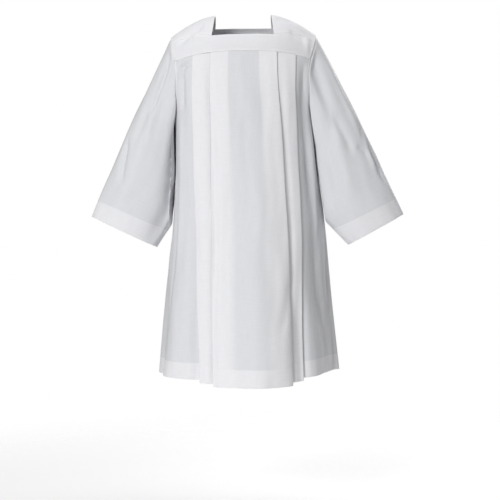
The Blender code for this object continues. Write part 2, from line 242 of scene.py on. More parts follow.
@dataclass(frozen=True)
class Section:
    """One level ring of the body that the skirt hangs round."""

    height: float
    half_width: float
    centre: float
    front: float
    back: float


@dataclass(frozen=True)
class Body:
    """The general figure under the cloth, as level superellipses read from a table by height."""

    sections: tuple[Section, ...] = (
        Section(-0.060, 0.240, 0.000, 0.104, 0.106),
        Section(-0.144, 0.232, -0.004, 0.119, 0.119),
        Section(-0.210, 0.220, -0.006, 0.130, 0.127),
        Section(-0.300, 0.206, -0.004, 0.138, 0.130),
        Section(-0.420, 0.209, 0.001, 0.143, 0.132),
        Section(-0.600, 0.225, 0.007, 0.152, 0.140),
        Section(-0.850, 0.249, 0.002, 0.168, 0.156),
        Section(-1.100, 0.272, 0.001, 0.184, 0.174),
    )
    squareness: float = 2.5

    def size(self, name: str, height: Array) -> Array:
        """One of a section's sizes at those heights."""
        knots = np.array([section.height for section in self.sections])
        return smooth_lookup(height, knots, [getattr(section, name) for section in self.sections])

    def depth(self, place: Array, height: Array) -> Array:
        """Depth of the front or of the back, whichever those places along Y are on."""
        return np.where(place < 0, self.size("front", height), self.size("back", height))

    def side(self, side: Side, place: Array, height: Array) -> Array:
        """How far out the body's side lies at those places along Y and those heights.

        Args:
            side: the wearer's side, whose direction counts as positive.
            place: places along Y.
            height: heights.

        Returns:
            centre + half width x (1 - |place / depth| ^ n) ^ (1 / n).
        """
        power = self.squareness
        inside = 1.0 - (np.abs(place) / self.depth(place, height)) ** power
        half = self.size("half_width", height) * np.clip(inside, 0.0, 1.0) ** (1.0 / power)
        return side.value * self.size("centre", height) + half

    def outward(self, side: Side, points: Array) -> Array:
        """Level directions straight out of the body's surface: the slope of its superellipse."""
        place, height = points[..., 1], points[..., 2]
        across = np.abs(points[..., 0] - self.size("centre", height))
        width, depth = self.size("half_width", height), self.depth(place, height)
        power = self.squareness - 1.0
        steep_x = side.value * (across / width) ** power / width
        steep_y = np.sign(place) * (np.abs(place) / depth) ** power / depth
        return unit(np.stack([steep_x, steep_y, np.zeros_like(place)], axis=-1))


BODY = Body()


@dataclass(frozen=True)
class Pleat:
    """A knife pleat: where its fold shows, from the middle, and how far its ply runs back."""

    edges: tuple[float, float, float, float, float]
    depth_top: float
    depth_hem: float

    def edge(self, level: Array) -> Array:
        """Distance from the middle to the fold that shows, read at five levels from seam to hem."""
        return smooth_lookup(level, np.array([0.0, 0.2, 0.45, 0.7, 1.0]), self.edges)

    def back(self, level: Array) -> Array:
        """Distance from the middle to the hidden fold under it."""
        return self.edge(level) - mix(self.depth_top, self.depth_hem, level)


@dataclass(frozen=True)
class SideFold:
    """A soft fold beside the pleats: distance back from the side seam, and its size at the hem."""

    from_seam: float
    width: float
    height: float
    start: float


@dataclass(frozen=True)
class Swell:
    """A broad swell down a whole panel: its distance left of the middle, and its size at the hem."""

    place: float
    width: float
    height: float
    start: float


@dataclass(frozen=True)
class Strips:
    """Parts of a half section, each an array of rows by columns, from the middle to the side."""

    along: list[Array] = field(default_factory=list)
    offset: list[Array] = field(default_factory=list)
    layers: list[Array] = field(default_factory=list)

    def add(self, along: Array, offset: Array, layers: Array) -> None:
        """Puts one strip after the others, with its offset and layers spread over its shape."""
        self.along.append(along)
        self.offset.append(np.broadcast_to(offset, along.shape))
        self.layers.append(np.broadcast_to(layers, along.shape))

    def run(self, start: Array, stop: Array, offset: Array, layers: Array, step: float) -> None:
        """A straight strip between two distances.

        Args:
            start: distance along the body where it starts, one for each row.
            stop: distance where it stops.
            offset: its distance out of the body.
            layers: how many layers of cloth lie there.
            step: the widest step between its columns.
        """
        count = max(2, math.ceil(np.abs(stop - start).max() / step) + 1)
        share = np.linspace(0.0, 1.0, count)[None, :]
        layers = np.asarray(layers, float)
        layers = layers[:, None] if layers.ndim else layers
        self.add(mix(start[:, None], stop[:, None], share), offset[:, None], layers)

    def turn(self, centre: Array, middle: Array, radius: Array, way: int) -> None:
        """A half circle that takes the cloth back under itself.

        Args:
            centre: distance along the body of the circle's centre, one for each row.
            middle: the centre's distance out of the body.
            radius: of the circle.
            way: 1 where the fold points away from the middle, and -1 where it points to it.
        """
        angle = np.radians(np.linspace(90.0, -90.0, 9)[1:-1])[None, :]
        along = centre[:, None] + way * radius[:, None] * np.cos(angle)
        self.add(along, middle[:, None] + radius[:, None] * np.sin(angle), np.float64(3.0))

    def joined(self) -> tuple[Array, Array, Array]:
        """The whole half section: distance along the body, distance out of it, and layers."""
        return np.hstack(self.along), np.hstack(self.offset), np.hstack(self.layers)


@dataclass(frozen=True)
class Cloth:
    """The cloth's own measures."""

    half_thickness: float = 0.22 * MM
    hem_gap: float = 1.1 * MM
    hem_depth: float = 0.050
    passes: float = 0.30

    def cover(self, layers: Array) -> Array:
        """How little shows through: each layer lets the same share of the light pass on."""
        return 1.0 - self.passes**layers


CLOTH = Cloth()


@dataclass(frozen=True)
class Surface:
    """A worked-out piece: its points, the way out, the layers at each, and half its thickness."""

    grid: Array
    outward: int
    layers: Array
    half: Array
    ring: bool = False

    def normals(self) -> Array:
        """Directions out of the garment."""
        return surface_normals(self.grid, self.outward, self.ring)

    def with_hem(self, band_rows: int) -> "Surface":
        """The same piece with its lower edge turned up inside.

        The cloth goes round a half circle at the edge, and back up behind the last rows at the
        distance of the hem's gap.

        Args:
            band_rows: how many of the last rows the hem reaches over.

        Returns:
            The longer surface, which runs down the outside and up the inside of the hem.
        """
        normals = self.normals()
        down = unit(self.grid[-1] - self.grid[-2])
        radius = CLOTH.hem_gap / 2
        fold = [
            self.grid[-1] - normals[-1] * radius * (1 - math.cos(a)) + down * radius * math.sin(a)
            for a in np.radians([36.0, 72.0, 108.0, 144.0])
        ]
        behind = (self.grid - normals * CLOTH.hem_gap)[: -band_rows - 1 : -1]
        rows = [*range(len(self.grid)), *[-1] * len(fold)]
        rows += list(range(-1, -band_rows - 1, -1))
        return Surface(
            np.concatenate([self.grid, np.array(fold), behind]),
            self.outward,
            self.layers[rows],
            self.half[rows],
            self.ring,
        )


@dataclass(frozen=True)
class Skirt:
    """The front or back panel: two knife pleats each side of a wide middle box, and a hem."""

    name: str
    face: Face
    pleats: dict[Side, tuple[Pleat, Pleat]]
    folds: dict[Side, tuple[SideFold, ...]]
    swells: tuple[Swell, ...]
    creases: tuple[Crease, ...]
    flat: tuple[float, float]
    flat_area: float
    seam_height: float
    seam_dip: float
    seed: int
    hem_height: float = -1.089
    hem_side_rise: float = 0.012
    underarm: float = -0.300
    seam_gap: float = 0.0003
    spacing_top: float = 0.0018
    spacing_hem: float = 0.0050
    ply_rise: float = 0.8
    drop: float = 0.969
    armhole_steps: tuple[float, ...] = (0.0, 0.16, 0.32, 0.48, 0.63, 0.77, 0.88, 0.96, 1.0)
    armhole_angles: tuple[float, ...] = (55.5, 55.5, 57.5, 60.5, 64.0, 68.5, 73.5, 80.5, 90.0)
    armhole_rows: int = 44
    lower_rows: int = 84
    band_rows: int = 9
    samples: int = 721
    visible_step: float = 0.0052
    hidden_step: float = 0.0130
    line_half: float = 0.0007
    underlay_blur_top: float = 0.003
    underlay_blur_hem: float = 0.048
    side_fade: float = 0.020
    seam_still: float = 0.030
    ripple_height: float = 0.9 * MM
    ripple_slant: float = 0.12
    seam_roll: float = 0.55 * MM
    roll_reach: float = 2.2 * MM
    seam_reach: float = 3.0 * MM

    @property
    def hem_row(self) -> int:
        """The last row of points above the hem."""
        return self.armhole_rows + self.lower_rows - 1

    def row_height(self, angle: Array, level: Array) -> Array:
        """Height of a row at each angle round the body: an arch at the yoke, level at the hem."""
        side = np.sin(np.radians(angle)) ** 2
        armhole_side = math.sin(math.radians(self.armhole_angles[0])) ** 2
        top = self.seam_height - self.seam_dip * side / armhole_side
        return mix(top, self.hem_height + self.hem_side_rise * side, level)

    def levels(self) -> tuple[Array, Array]:
        """Each row's level, 0 at the yoke seam and 1 at the hem, and the angle where it ends.

        Beside the armhole both are read from the edge's table by the number of its rows, so that
        the rows lie evenly along the armhole's curve.

        Returns:
            The levels and the end angles, one for each row.
        """
        top, hem = self.row_height(90.0, 0.0), self.row_height(90.0, 1.0)
        underarm_level = (self.underarm - top) / (hem - top)
        number = np.arange(len(self.armhole_steps), dtype=float)
        place = np.linspace(0.0, number[-1], self.armhole_rows)
        level = smooth_lookup(place, number, self.armhole_steps) * underarm_level
        angle = smooth_lookup(place, number, self.armhole_angles)
        hem_line = 1.0 - CLOTH.hem_depth / self.drop
        lower = np.linspace(0.0, 1.0, self.lower_rows + 1)[1:] ** 1.1
        line = self.line_half / self.drop
        lower = mix(underarm_level, hem_line - line, lower)
        band = np.linspace(hem_line + line, 1.0, self.band_rows)
        below = np.concatenate([lower, band])
        return np.concatenate([level, below]), np.concatenate([angle, np.full(len(below), 90.0)])

    def body_rows(self, level: Array, reach: Array) -> tuple[Array, Array, Array]:
        """The body's own lines along the panel's rows, with nothing folded.

        A point at an angle is (centre + half width x sin^(2/n), depth x cos^(2/n), height).

        Args:
            level: of each row.
            reach: the angle where each row ends.

        Returns:
            Points, distance along the row from its middle, and level directions out of the body.
        """
        angle = np.linspace(-1.0, 1.0, self.samples)[None, :] * reach[:, None]
        turn = np.radians(angle)
        height = self.row_height(angle, level[:, None])
        depth = BODY.size("front" if self.face is Face.FRONT else "back", height)
        power = 2.0 / BODY.squareness
        across = np.sign(np.sin(turn)) * np.abs(np.sin(turn)) ** power
        x = BODY.size("centre", height) + BODY.size("half_width", height) * across
        y = self.face.value * (depth * np.abs(np.cos(turn)) ** power + self.seam_gap / 2)
        points = np.stack([x, y, height], axis=-1)
        along = lengths(points[..., :2], axis=1)
        along -= along[:, self.samples // 2][:, None]
        ahead = np.gradient(points[..., :2], axis=1)
        normals = unit(np.stack([ahead[..., 1], -ahead[..., 0]], axis=-1))
        return points, along, normals * -self.face.value

    def half_section(self, side: Side, level: Array, end: Array) -> tuple[Array, Array, Array]:
        """Half of every row's section, from the middle to the side.

        Each pleat runs out to its edge, turns back under itself, turns again and goes on below.
        The first hidden fold shows through sharply at the yoke, where it is pressed to the middle
        box, and blurs further down, where it hangs free of it.

        Args:
            side: which half.
            level: of each row.
            end: distance along the body where each row ends.

        Returns:
            Distance along the body, distance out of it, and layers of cloth, rows by columns.
        """
        pleats = self.pleats[side]
        spacing = mix(self.spacing_top, self.spacing_hem, level)
        radius, line = spacing / 2, self.line_half
        offset = 2 * len(pleats) * spacing
        strips = Strips()
        edge = None
        for pleat in pleats:
            last_edge = edge
            edge, back = pleat.edge(level), pleat.back(level)
            if last_edge is None:
                start = np.zeros_like(edge)
                strips.run(start, back - line, offset, 1.0, self.visible_step)
            else:
                centre = (last_edge + back) / 2
                half = np.maximum(np.abs(last_edge - back) / 2, 3 * line)
                layers = np.where(back > last_edge, 1.0, 3.0)
                strips.run(last_back + radius, centre - half, offset, 3.0, self.hidden_step)
                start, stop = centre - half + line, centre + half - 2 * line
                strips.run(start, stop, offset, layers, self.visible_step)
                back = centre + half - line
            strips.run(back + line, edge - radius, offset, 3.0, self.visible_step)
            strips.turn(edge - radius, offset - radius, radius, 1)
            offset = offset - spacing
            back = pleat.back(level)
            strips.run(edge - radius, back + radius, offset, 3.0, self.hidden_step)
            strips.turn(back + radius, offset - radius, radius, -1)
            offset = offset - spacing
            last_back = back
        strips.run(last_back + radius, edge, offset, 3.0, self.hidden_step)
        strips.run(edge + 2 * line, end, offset, 1.0, self.visible_step)
        along, out, layers = strips.joined()
        blur = mix(self.underlay_blur_top, self.underlay_blur_hem, smoothstep(level / 0.6))
        share = (along - pleats[0].back(level)[:, None]) / blur[:, None] + 0.5
        return along, out, np.where(out == out[:, :1], 1.0 + 2.0 * smoothstep(share), layers)

    def fold_push(self, side: Side, along: Array, level: Array, end: Array) -> Array:
        """Push of the soft side folds: bell curves that grow from nothing towards the hem."""
        push = np.zeros_like(along)
        for fold in self.folds[side]:
            grown = smoothstep((level - fold.start) / (1.0 - fold.start))
            push += fold.height * grown * np.exp(-(((end - fold.from_seam - along) / fold.width) ** 2))
        return push * smoothstep((end - along) / self.side_fade)

    def swell_push(self, u: Array, level: Array) -> Array:
        """Push of the broad swells: bell curves across the panel that grow towards the hem."""
        push = np.zeros(np.broadcast(u, level).shape)
        for swell in self.swells:
            grown = smoothstep((level - swell.start) / (1.0 - swell.start))
            push += swell.height * grown * np.exp(-(((u - swell.place) / swell.width) ** 2))
        return push

    def surface(self) -> Surface:
        """The whole panel, with its pleats, folds, creases, rolled armhole edge and turned hem."""
        level, reach = self.levels()
        points, row_along, row_normals = self.body_rows(level, reach)
        down = level[:, None]
        halves = []
        for side, end in ((Side.RIGHT, -row_along[:, 0]), (Side.LEFT, row_along[:, -1])):
            along, offset, layers = self.half_section(side, level, end)
            end = end[:, None]
            u, v = side.value * along, down * self.drop
            push = self.fold_push(side, along, down, end) + self.swell_push(u, down)
            still = smoothstep((end - along) / self.side_fade) * smoothstep(v / self.seam_still)
            shaped = crease_push(u, v, self.creases)
            shaped += ripple(u, v, self.seed, self.ripple_height, self.ripple_slant)
            rise = self.ply_rise * (offset[:, :1] - offset) * down**3
            halves.append((u, offset + push + shaped * still, layers, rise))
        right, left = halves
        u, offset, layers, rise = (np.hstack([a[:, :0:-1], b]) for a, b in zip(right, left))
        grid = np.stack([interp_rows(u, row_along, points[..., k]) for k in range(3)], axis=-1)
        for k in range(2):
            grid[..., k] += interp_rows(u, row_along, row_normals[..., k]) * offset
        grid[..., 2] += rise
        in_hem = down >= 1.0 - CLOTH.hem_depth / self.drop
        layers = layers * np.where(in_hem, 2.0, 1.0)
        run = lengths(grid, axis=1)
        to_edge = np.minimum(run, run[:, -1:] - run)
        beside = (np.arange(len(level)) < self.armhole_rows)[:, None]
        roll = self.seam_roll * beside * np.exp(-((to_edge / self.roll_reach) ** 2))
        layers = layers + 3.0 * beside * np.exp(-((to_edge / self.seam_reach) ** 4))
        half = CLOTH.half_thickness + roll
        return Surface(grid, self.face.value, layers, half).with_hem(self.band_rows)

    def edge(self, side: Side) -> tuple[Array, Array]:
        """The panel's edge beside the armhole, from the yoke seam to the underarm.

        Args:
            side: which armhole.

        Returns:
            The edge's points, and those of the next column in.
        """
        grid = self.surface().grid[: self.armhole_rows]
        return (grid[:, -1], grid[:, -2]) if side is Side.LEFT else (grid[:, 0], grid[:, 1])


@dataclass(frozen=True)
class Yoke:
    """The yoke's surface over one face, and the band and the straps that are cut from it.

    A place across it is -1 at the wearer's right armhole, 0 in the middle and 1 at the left one. A
    turn is 0 on the shoulder line and 1 at the panel's seam, a quarter of an ellipse between them.
    """

    skirt: Skirt
    creases: tuple[Crease, ...]
    neckline_turn: float
    seed: int
    neck_half: float = 0.083
    shoulder_half: float = 0.216
    shoulder_drop: float = 0.063
    shoulder_curve: float = 1.6
    neck_arc: float = 0.098
    strap_rise: float = 0.300
    armhole_flare: float = 1.3
    lift_start: float = 0.010
    lift_end: float = 0.020

    @property
    def neck_place(self) -> float:
        """The neck corner's place."""
        return self.neck_half / self.shoulder_half

    def seam(self, place: Array) -> Array:
        """The lower edge, standing out over the pleats that are caught in the seam.

        Args:
            place: places across the yoke.

        Returns:
            Points of the edge, one for each place.
        """
        skirt = self.skirt
        level, reach = np.zeros(1), np.array([skirt.armhole_angles[0]])
        points, row_along, row_normals = skirt.body_rows(level, reach)
        beyond = (np.abs(place) - self.neck_place) / (1.0 - self.neck_place)
        near = self.neck_arc * np.abs(place) / self.neck_place
        along = np.where(beyond < 0, near, mix(self.neck_arc, row_along[0, -1], beyond))
        pleats = skirt.pleats[Side.LEFT]
        stack = 2 * len(pleats) * skirt.spacing_top
        start, stop = pleats[0].edges[0] - self.lift_start, pleats[-1].edges[0] + self.lift_end
        lift = stack * (1.0 - smoothstep((along - start) / (stop - start)))
        u = (np.sign(place) * along)[None, :]
        edge = np.stack([interp_rows(u, row_along, points[..., k])[0] for k in range(3)], axis=-1)
        for k in range(2):
            edge[:, k] += interp_rows(u, row_along, row_normals[..., k])[0] * lift
        return edge + [0.0, 0.0, skirt.seam_gap]

    def shoulder(self, place: Array) -> Array:
        """The shoulder line, level across the neck and then falling away to the shoulder point."""
        across = np.abs(place) * self.shoulder_half
        beyond = np.clip((across - self.neck_half) / (self.shoulder_half - self.neck_half), 0, 1)
        drop = self.shoulder_drop * beyond**self.shoulder_curve
        return np.stack([np.sign(place) * across, np.zeros_like(place), -drop], axis=-1)

    def at(self, place: Array, turn: Array) -> Array:
        """Points of the smooth surface, before its creases.

        With the quarter turn's angle a, x goes from the shoulder's to the seam's with
        (1 - cos a) ^ flare, y with sin a, and z with 1 - cos a.

        Args:
            place: places across the yoke, one for each column.
            turn: turns, rows by columns.

        Returns:
            Points, rows by columns by 3.
        """
        top, low = self.shoulder(place), self.seam(place)
        angle = np.radians(90.0 * turn)
        x = mix(top[:, 0], low[:, 0], (1.0 - np.cos(angle)) ** self.armhole_flare)
        y = mix(top[:, 1], low[:, 1], np.sin(angle))
        z = mix(low[:, 2], top[:, 2], np.cos(angle))
        return np.stack([x, y, z], axis=-1)

    def strap_turn(self, place: Array) -> Array:
        """The turn of the seam between the band and the strap, which rises to the armhole."""
        beyond = (np.abs(place) - self.neck_place) / (1.0 - self.neck_place)
        return self.neckline_turn * (1.0 - self.strap_rise * np.maximum(beyond, 0.0))

    def arc(self, place: Array) -> Array:
        """Length of the yoke from the shoulder line to the seam at each place, as a round arc."""
        chord = np.linalg.norm(self.at(place, np.ones((1, len(place)))) - self.shoulder(place), axis=-1)
        return chord[0] * math.pi / math.sqrt(8.0)

    def push(self, place: Array, turn: Array) -> Array:
        """Push of the yoke's creases, in metres across and down from the shoulder line."""
        u, v = place * self.shoulder_half, turn * self.arc(place)
        shaped = crease_push(u, v, self.creases) + ripple(u, v, self.seed, 0.35 * MM, 0.9)
        edge = smoothstep((1.0 - np.abs(place)) * self.shoulder_half / 0.012)
        return shaped * edge * smoothstep((1.0 - turn) * self.arc(place) / 0.010)


def rounded_shares(length: float, step: float, bend: float) -> Array:
    """Shares of a length that lie close together at both ends, where an edge is rounded.

    Args:
        length: of the piece that way.
        step: the widest step between them, in the middle.
        bend: the edge's radius, which four short steps go round.

    Returns:
        Rising shares from 0 to 1.
    """
    near = bend * np.array([0.0, 0.08, 0.3, 0.65, 1.1, 2.0, 3.2]) / length
    middle = np.linspace(near[-1], 1.0 - near[-1], max(3, round(length / step)))
    return np.concatenate([near[:-1], middle, 1.0 - near[-2::-1]])


@dataclass(frozen=True)
class YokeCloth:
    """Doubled cloth that is turned in and topstitched along its edges."""

    half_thickness: float = 0.80 * MM
    welt: float = 0.55 * MM
    welt_place: float = 2.4 * MM
    welt_width: float = 1.7 * MM
    channel: float = 0.30 * MM
    channel_place: float = 6.0 * MM
    channel_width: float = 1.1 * MM
    step: float = 0.0042

    def half(self, distance: Array) -> Array:
        """Half the thickness at a distance in from the edge.

        A quarter circle at the edge, then a welt where the turned-in cloth is thickest, and then the
        channel that the topstitching pulls down.

        Args:
            distance: to the nearest edge.

        Returns:
            Half the thickness.
        """
        inside = 1.0 - np.clip(distance / self.half_thickness, 0.06, 1.0)
        round_edge = np.sqrt(1.0 - inside**2)
        welt = self.welt * np.exp(-(((distance - self.welt_place) / self.welt_width) ** 2))
        pulled = np.exp(-(((distance - self.channel_place) / self.channel_width) ** 2))
        return (self.half_thickness + welt - self.channel * pulled) * round_edge

    def layers(self, distance: Array) -> Array:
        """Two layers, and five where the edges are turned in."""
        return 2.0 + 3.0 * (1.0 - smoothstep((distance - 0.004) / 0.002))


YOKE_CLOTH = YokeCloth()


def edge_distance(grid: Array) -> Array:
    """Distance from each point of a grid to the nearest of its four edges, along the surface."""
    across, down = lengths(grid, axis=1), lengths(grid, axis=0)
    sides = np.minimum(across, across[:, -1:] - across)
    ends = np.minimum(down, down[-1:] - down)
    return np.minimum(sides, ends)


@dataclass(frozen=True)
class Band:
    """The straight band of the yoke under the neck, from armhole to armhole."""

    name: str
    yoke: Yoke
    flat: tuple[float, float]
    flat_area: float

    def surface(self) -> Surface:
        """The band between its upper edge, which is the neckline in the middle, and the seam."""
        yoke, cloth = self.yoke, YOKE_CLOTH
        share = rounded_shares(0.44, cloth.step, cloth.half_thickness)
        place = mix(-1.0, 1.0, share)
        corner = yoke.neck_place
        place = np.sort(np.concatenate([place, [-corner - 0.004, -corner, corner, corner + 0.004]]))
        arc = yoke.arc(place)
        top = yoke.strap_turn(place) + yoke.skirt.seam_gap / 2 / arc
        down = rounded_shares(0.050, cloth.step, cloth.half_thickness)[:, None]
        turn = mix(top, 1.0, down)
        grid = yoke.at(place, turn)
        out = yoke.skirt.face.value
        grid = grid + surface_normals(grid, out, False) * yoke.push(place, turn)[..., None]
        distance = edge_distance(grid)
        return Surface(grid, out, cloth.layers(distance), cloth.half(distance))


@dataclass(frozen=True)
class Strap:
    """A shoulder piece, from the front band over the shoulder to the back band."""

    name: str
    side: Side
    front: Yoke
    back: Yoke
    flat: tuple[float, float]
    flat_area: float

    def surface(self) -> Surface:
        """The strap, with columns from the neck to the armhole and rows from front to back."""
        cloth = YOKE_CLOTH
        share = rounded_shares(0.140, cloth.step, cloth.half_thickness)
        place = self.side.value * mix(self.front.neck_place, 1.0, share)
        down = rounded_shares(0.220, cloth.step, cloth.half_thickness)
        rows, pushes = [], []
        for yoke, near in ((self.front, down[down < 0.5]), (self.back, down[down >= 0.5])):
            end = yoke.strap_turn(place) - yoke.skirt.seam_gap / 2 / yoke.arc(place)
            turn = np.abs(near[:, None] - 0.5) * 2.0 * end
            rows.append(yoke.at(place, turn))
            pushes.append(yoke.push(place, turn) * smoothstep(turn / 0.25))
        grid = np.concatenate(rows)
        push = np.concatenate(pushes)[..., None]
        grid = grid + surface_normals(grid, self.side.value, False) * push
        distance = edge_distance(grid)
        return Surface(grid, self.side.value, cloth.layers(distance), cloth.half(distance))


@dataclass(frozen=True)
class Sleeve:
    """A wide sleeve, set into the armhole, that hangs down the body's side and swings out."""

    name: str
    side: Side
    front: Yoke
    back: Yoke
    outer_cuff: tuple[float, float]
    inner_cuff: tuple[float, float]
    beside_body: float
    depth_cuff: float
    creases: tuple[Crease, ...]
    flat: tuple[float, float]
    flat_area: float
    seed: int
    cuff_forward: float = 0.020
    depth_middle: float = 0.068
    outer_bulge: float = 0.004
    swing_bend: float = 0.35
    start_gap: float = 0.0005
    underarm_gap: float = 0.0014
    low_start: float = -0.195
    low_end: float = -0.240
    press: float = 0.009
    clearance: float = 0.0034
    armhole_fade: float = 0.40
    seam_still: float = 0.035
    held_angle: float = 75.0
    held_end: float = 0.15
    ripple_radius: float = 0.09
    ripple_height: float = 0.8 * MM
    ripple_slant: float = 0.25
    seam_dip: float = 2.6 * MM
    seam_dip_reach: float = 0.006
    yoke_rows: int = 28
    upper_rows: int = 108
    band_rows: int = 9
    girth: float = 0.56
    drop: float = 0.52

    @property
    def hem_row(self) -> int:
        """The last row of points above the hem."""
        return self.upper_rows - 1

    @property
    def mirror(self) -> Array:
        """What turns distances out from the middle into places along X, and back."""
        return np.array([self.side.value, 1.0, 1.0])

    def low(self, height: Array) -> Array:
        """0 beside the upper armhole and 1 beside its lower curve, which the sleeve hangs over."""
        return smoothstep((self.low_start - height) / (self.low_start - self.low_end))

    def armhole(self) -> tuple[Array, Array, int]:
        """The armhole's edge, from the shoulder point through the front and back up behind.

        The sleeve leaves the upper armhole along the cloth, and starts outside the body below.

        Returns:
            The points of the edge, the points where the sleeve starts, and the underarm's number.
        """
        edges, starts = [], []
        for yoke in (self.front, self.back):
            turn = np.linspace(0.0, 1.0, self.yoke_rows, endpoint=False)[:, None]
            place = self.side.value * np.array([1.0, 0.97])
            upper = yoke.at(place, np.broadcast_to(turn, (self.yoke_rows, 2)))
            panel, inside = yoke.skirt.edge(self.side)
            edge = np.concatenate([upper[:, 0], panel])
            before = np.concatenate([upper[:, 1], inside])
            low = self.low(edge[:, 2])[:, None]
            way = unit(mix(unit(edge - before), BODY.outward(self.side, edge), low))
            edges.append(edge)
            starts.append(edge + way * mix(self.start_gap, self.underarm_gap, low))
        underarm = len(edges[0]) - 1
        loop = np.concatenate([edges[0], edges[1][-2:0:-1]])
        return loop, np.concatenate([starts[0], starts[1][-2:0:-1]]), underarm

    def turns(self, loop: Array, underarm: int) -> Array:
        """The angle round the sleeve of each point: 0 on the outer line, 180 at the underarm."""
        closed = lengths(np.concatenate([loop, loop[:1]]), axis=0)
        return np.interp(closed[:-1], [0.0, closed[underarm], closed[-1]], [0.0, 180.0, 360.0])

    def inner_line(self, start_height: float, t: Array) -> tuple[Array, Array]:
        """The sleeve's low line: pressed on the body's side, then out to the low end of the cuff.

        Args:
            start_height: height of the underarm.
            t: share of the way from the armhole to the cuff.

        Returns:
            Distance out from the middle, and height.
        """
        height = mix(start_height, self.inner_cuff[1], t)
        level = np.zeros_like(height)
        pressed = self.press * smoothstep(t / 0.10)
        beside = BODY.side(self.side, level, height) - pressed
        swing = bent_ramp((t - self.beside_body) / (1.0 - self.beside_body), self.swing_bend)
        cuff = np.array([self.inner_cuff[1]])
        past = self.inner_cuff[0] - BODY.side(self.side, np.zeros(1), cuff)[0] + self.press
        return beside + past * swing, height

    def rings(self, t: Array) -> Array:
        """Points of the sleeve at those shares of its length.

        A ring is an oval between the outer and the inner line, middle + reach x cos, depth x sin,
        and over the upper part of the sleeve it takes the armhole's shape.

        Args:
            t: shares of the way from the armhole to the cuff, rows by columns.

        Returns:
            Points, rows by columns by 3.
        """
        loop, start, underarm = self.armhole()
        turn = np.radians(self.turns(loop, underarm))
        shoulder = np.array([abs(start[0, 0]), start[0, 2]])
        start_depth = np.abs(start[:, 1]).max()

        def oval(t: Array) -> Array:
            """The plain ovals at those shares, before they take the armhole's shape."""
            outer_x = mix(shoulder[0], self.outer_cuff[0], t) + self.outer_bulge * 4 * t * (1 - t)
            outer_z = mix(shoulder[1], self.outer_cuff[1], t)
            inner_x, inner_z = self.inner_line(start[underarm, 2], t)
            depth = mix(mix(start_depth, self.depth_cuff, t), self.depth_middle, 4 * t * (1 - t))
            x = mix(outer_x, inner_x, (1 - np.cos(turn)) / 2)
            z = mix(outer_z, inner_z, (1 - np.cos(turn)) / 2)
            return np.stack([x, -depth * np.sin(turn) - self.cuff_forward * smoothstep(t), z], -1)

        grid = oval(t)
        first = oval(np.zeros((1, len(turn))))[0]
        fade = 1.0 - smoothstep(t / self.armhole_fade)
        grid = grid + (start * self.mirror - first) * fade[..., None]
        return self.beside(grid, t) * self.mirror

    def beside(self, grid: Array, t: Array) -> Array:
        """Moves points that are inside the body out beside it, where x is the distance outwards."""
        limit = BODY.side(self.side, grid[..., 1], grid[..., 2])
        limit = limit + self.clearance * smoothstep(t / 0.05)
        move = self.low(grid[..., 2]) * (t > 0) * np.maximum(limit - grid[..., 0], 0.0)
        return grid + move[..., None] * np.array([1.0, 0.0, 0.0])

    def surface(self) -> Surface:
        """The whole sleeve, with rows laid so that the hem's line is level with the cuff."""
        loop, _, underarm = self.armhole()
        turns = self.turns(loop, underarm)
        rough = np.broadcast_to(np.linspace(0.0, 1.0, 40)[:, None], (40, len(turns)))
        line = 1.0 - CLOTH.hem_depth / lengths(self.rings(rough), axis=0)[-1]
        upper = np.linspace(0.0, 1.0, self.upper_rows)[:, None] ** 1.15 * (line - 0.0013)
        band = mix(line + 0.0013, 1.0, np.linspace(0.0, 1.0, self.band_rows)[:, None])
        t = np.concatenate([upper, band])
        grid = self.rings(t)
        normals = surface_normals(grid, self.side.value, True)
        u = turns / 360.0 * self.girth
        v = t * self.drop
        shaped = crease_push(u, v, self.creases) + crease_push(u - self.girth, v, self.creases)
        for seed, place in enumerate((np.sin(np.radians(turns)), np.cos(np.radians(turns))), self.seed):
            shaped += ripple(
                place * self.ripple_radius, v, seed, self.ripple_height, self.ripple_slant
            )
        off_body = smoothstep(np.abs(turns - 180.0) / self.held_angle)
        free = np.maximum(off_body, smoothstep((t - self.beside_body) / self.held_end))
        shaped = np.where(shaped > 0.0, shaped * free, shaped)
        down = lengths(grid, axis=0)
        dip = self.seam_dip * np.exp(-((down / self.seam_dip_reach) ** 2))
        push = shaped * smoothstep(down / self.seam_still) - dip
        grid = self.beside((grid + normals * push[..., None]) * self.mirror, t) * self.mirror
        layers = np.where(np.arange(len(t))[:, None] >= self.upper_rows, 2.0, 1.0)
        layers = layers + 2.0 * np.exp(-((down / 0.007) ** 4))
        half = np.full(t.shape, CLOTH.half_thickness)
        return Surface(grid, self.side.value, layers, half, True).with_hem(self.band_rows)


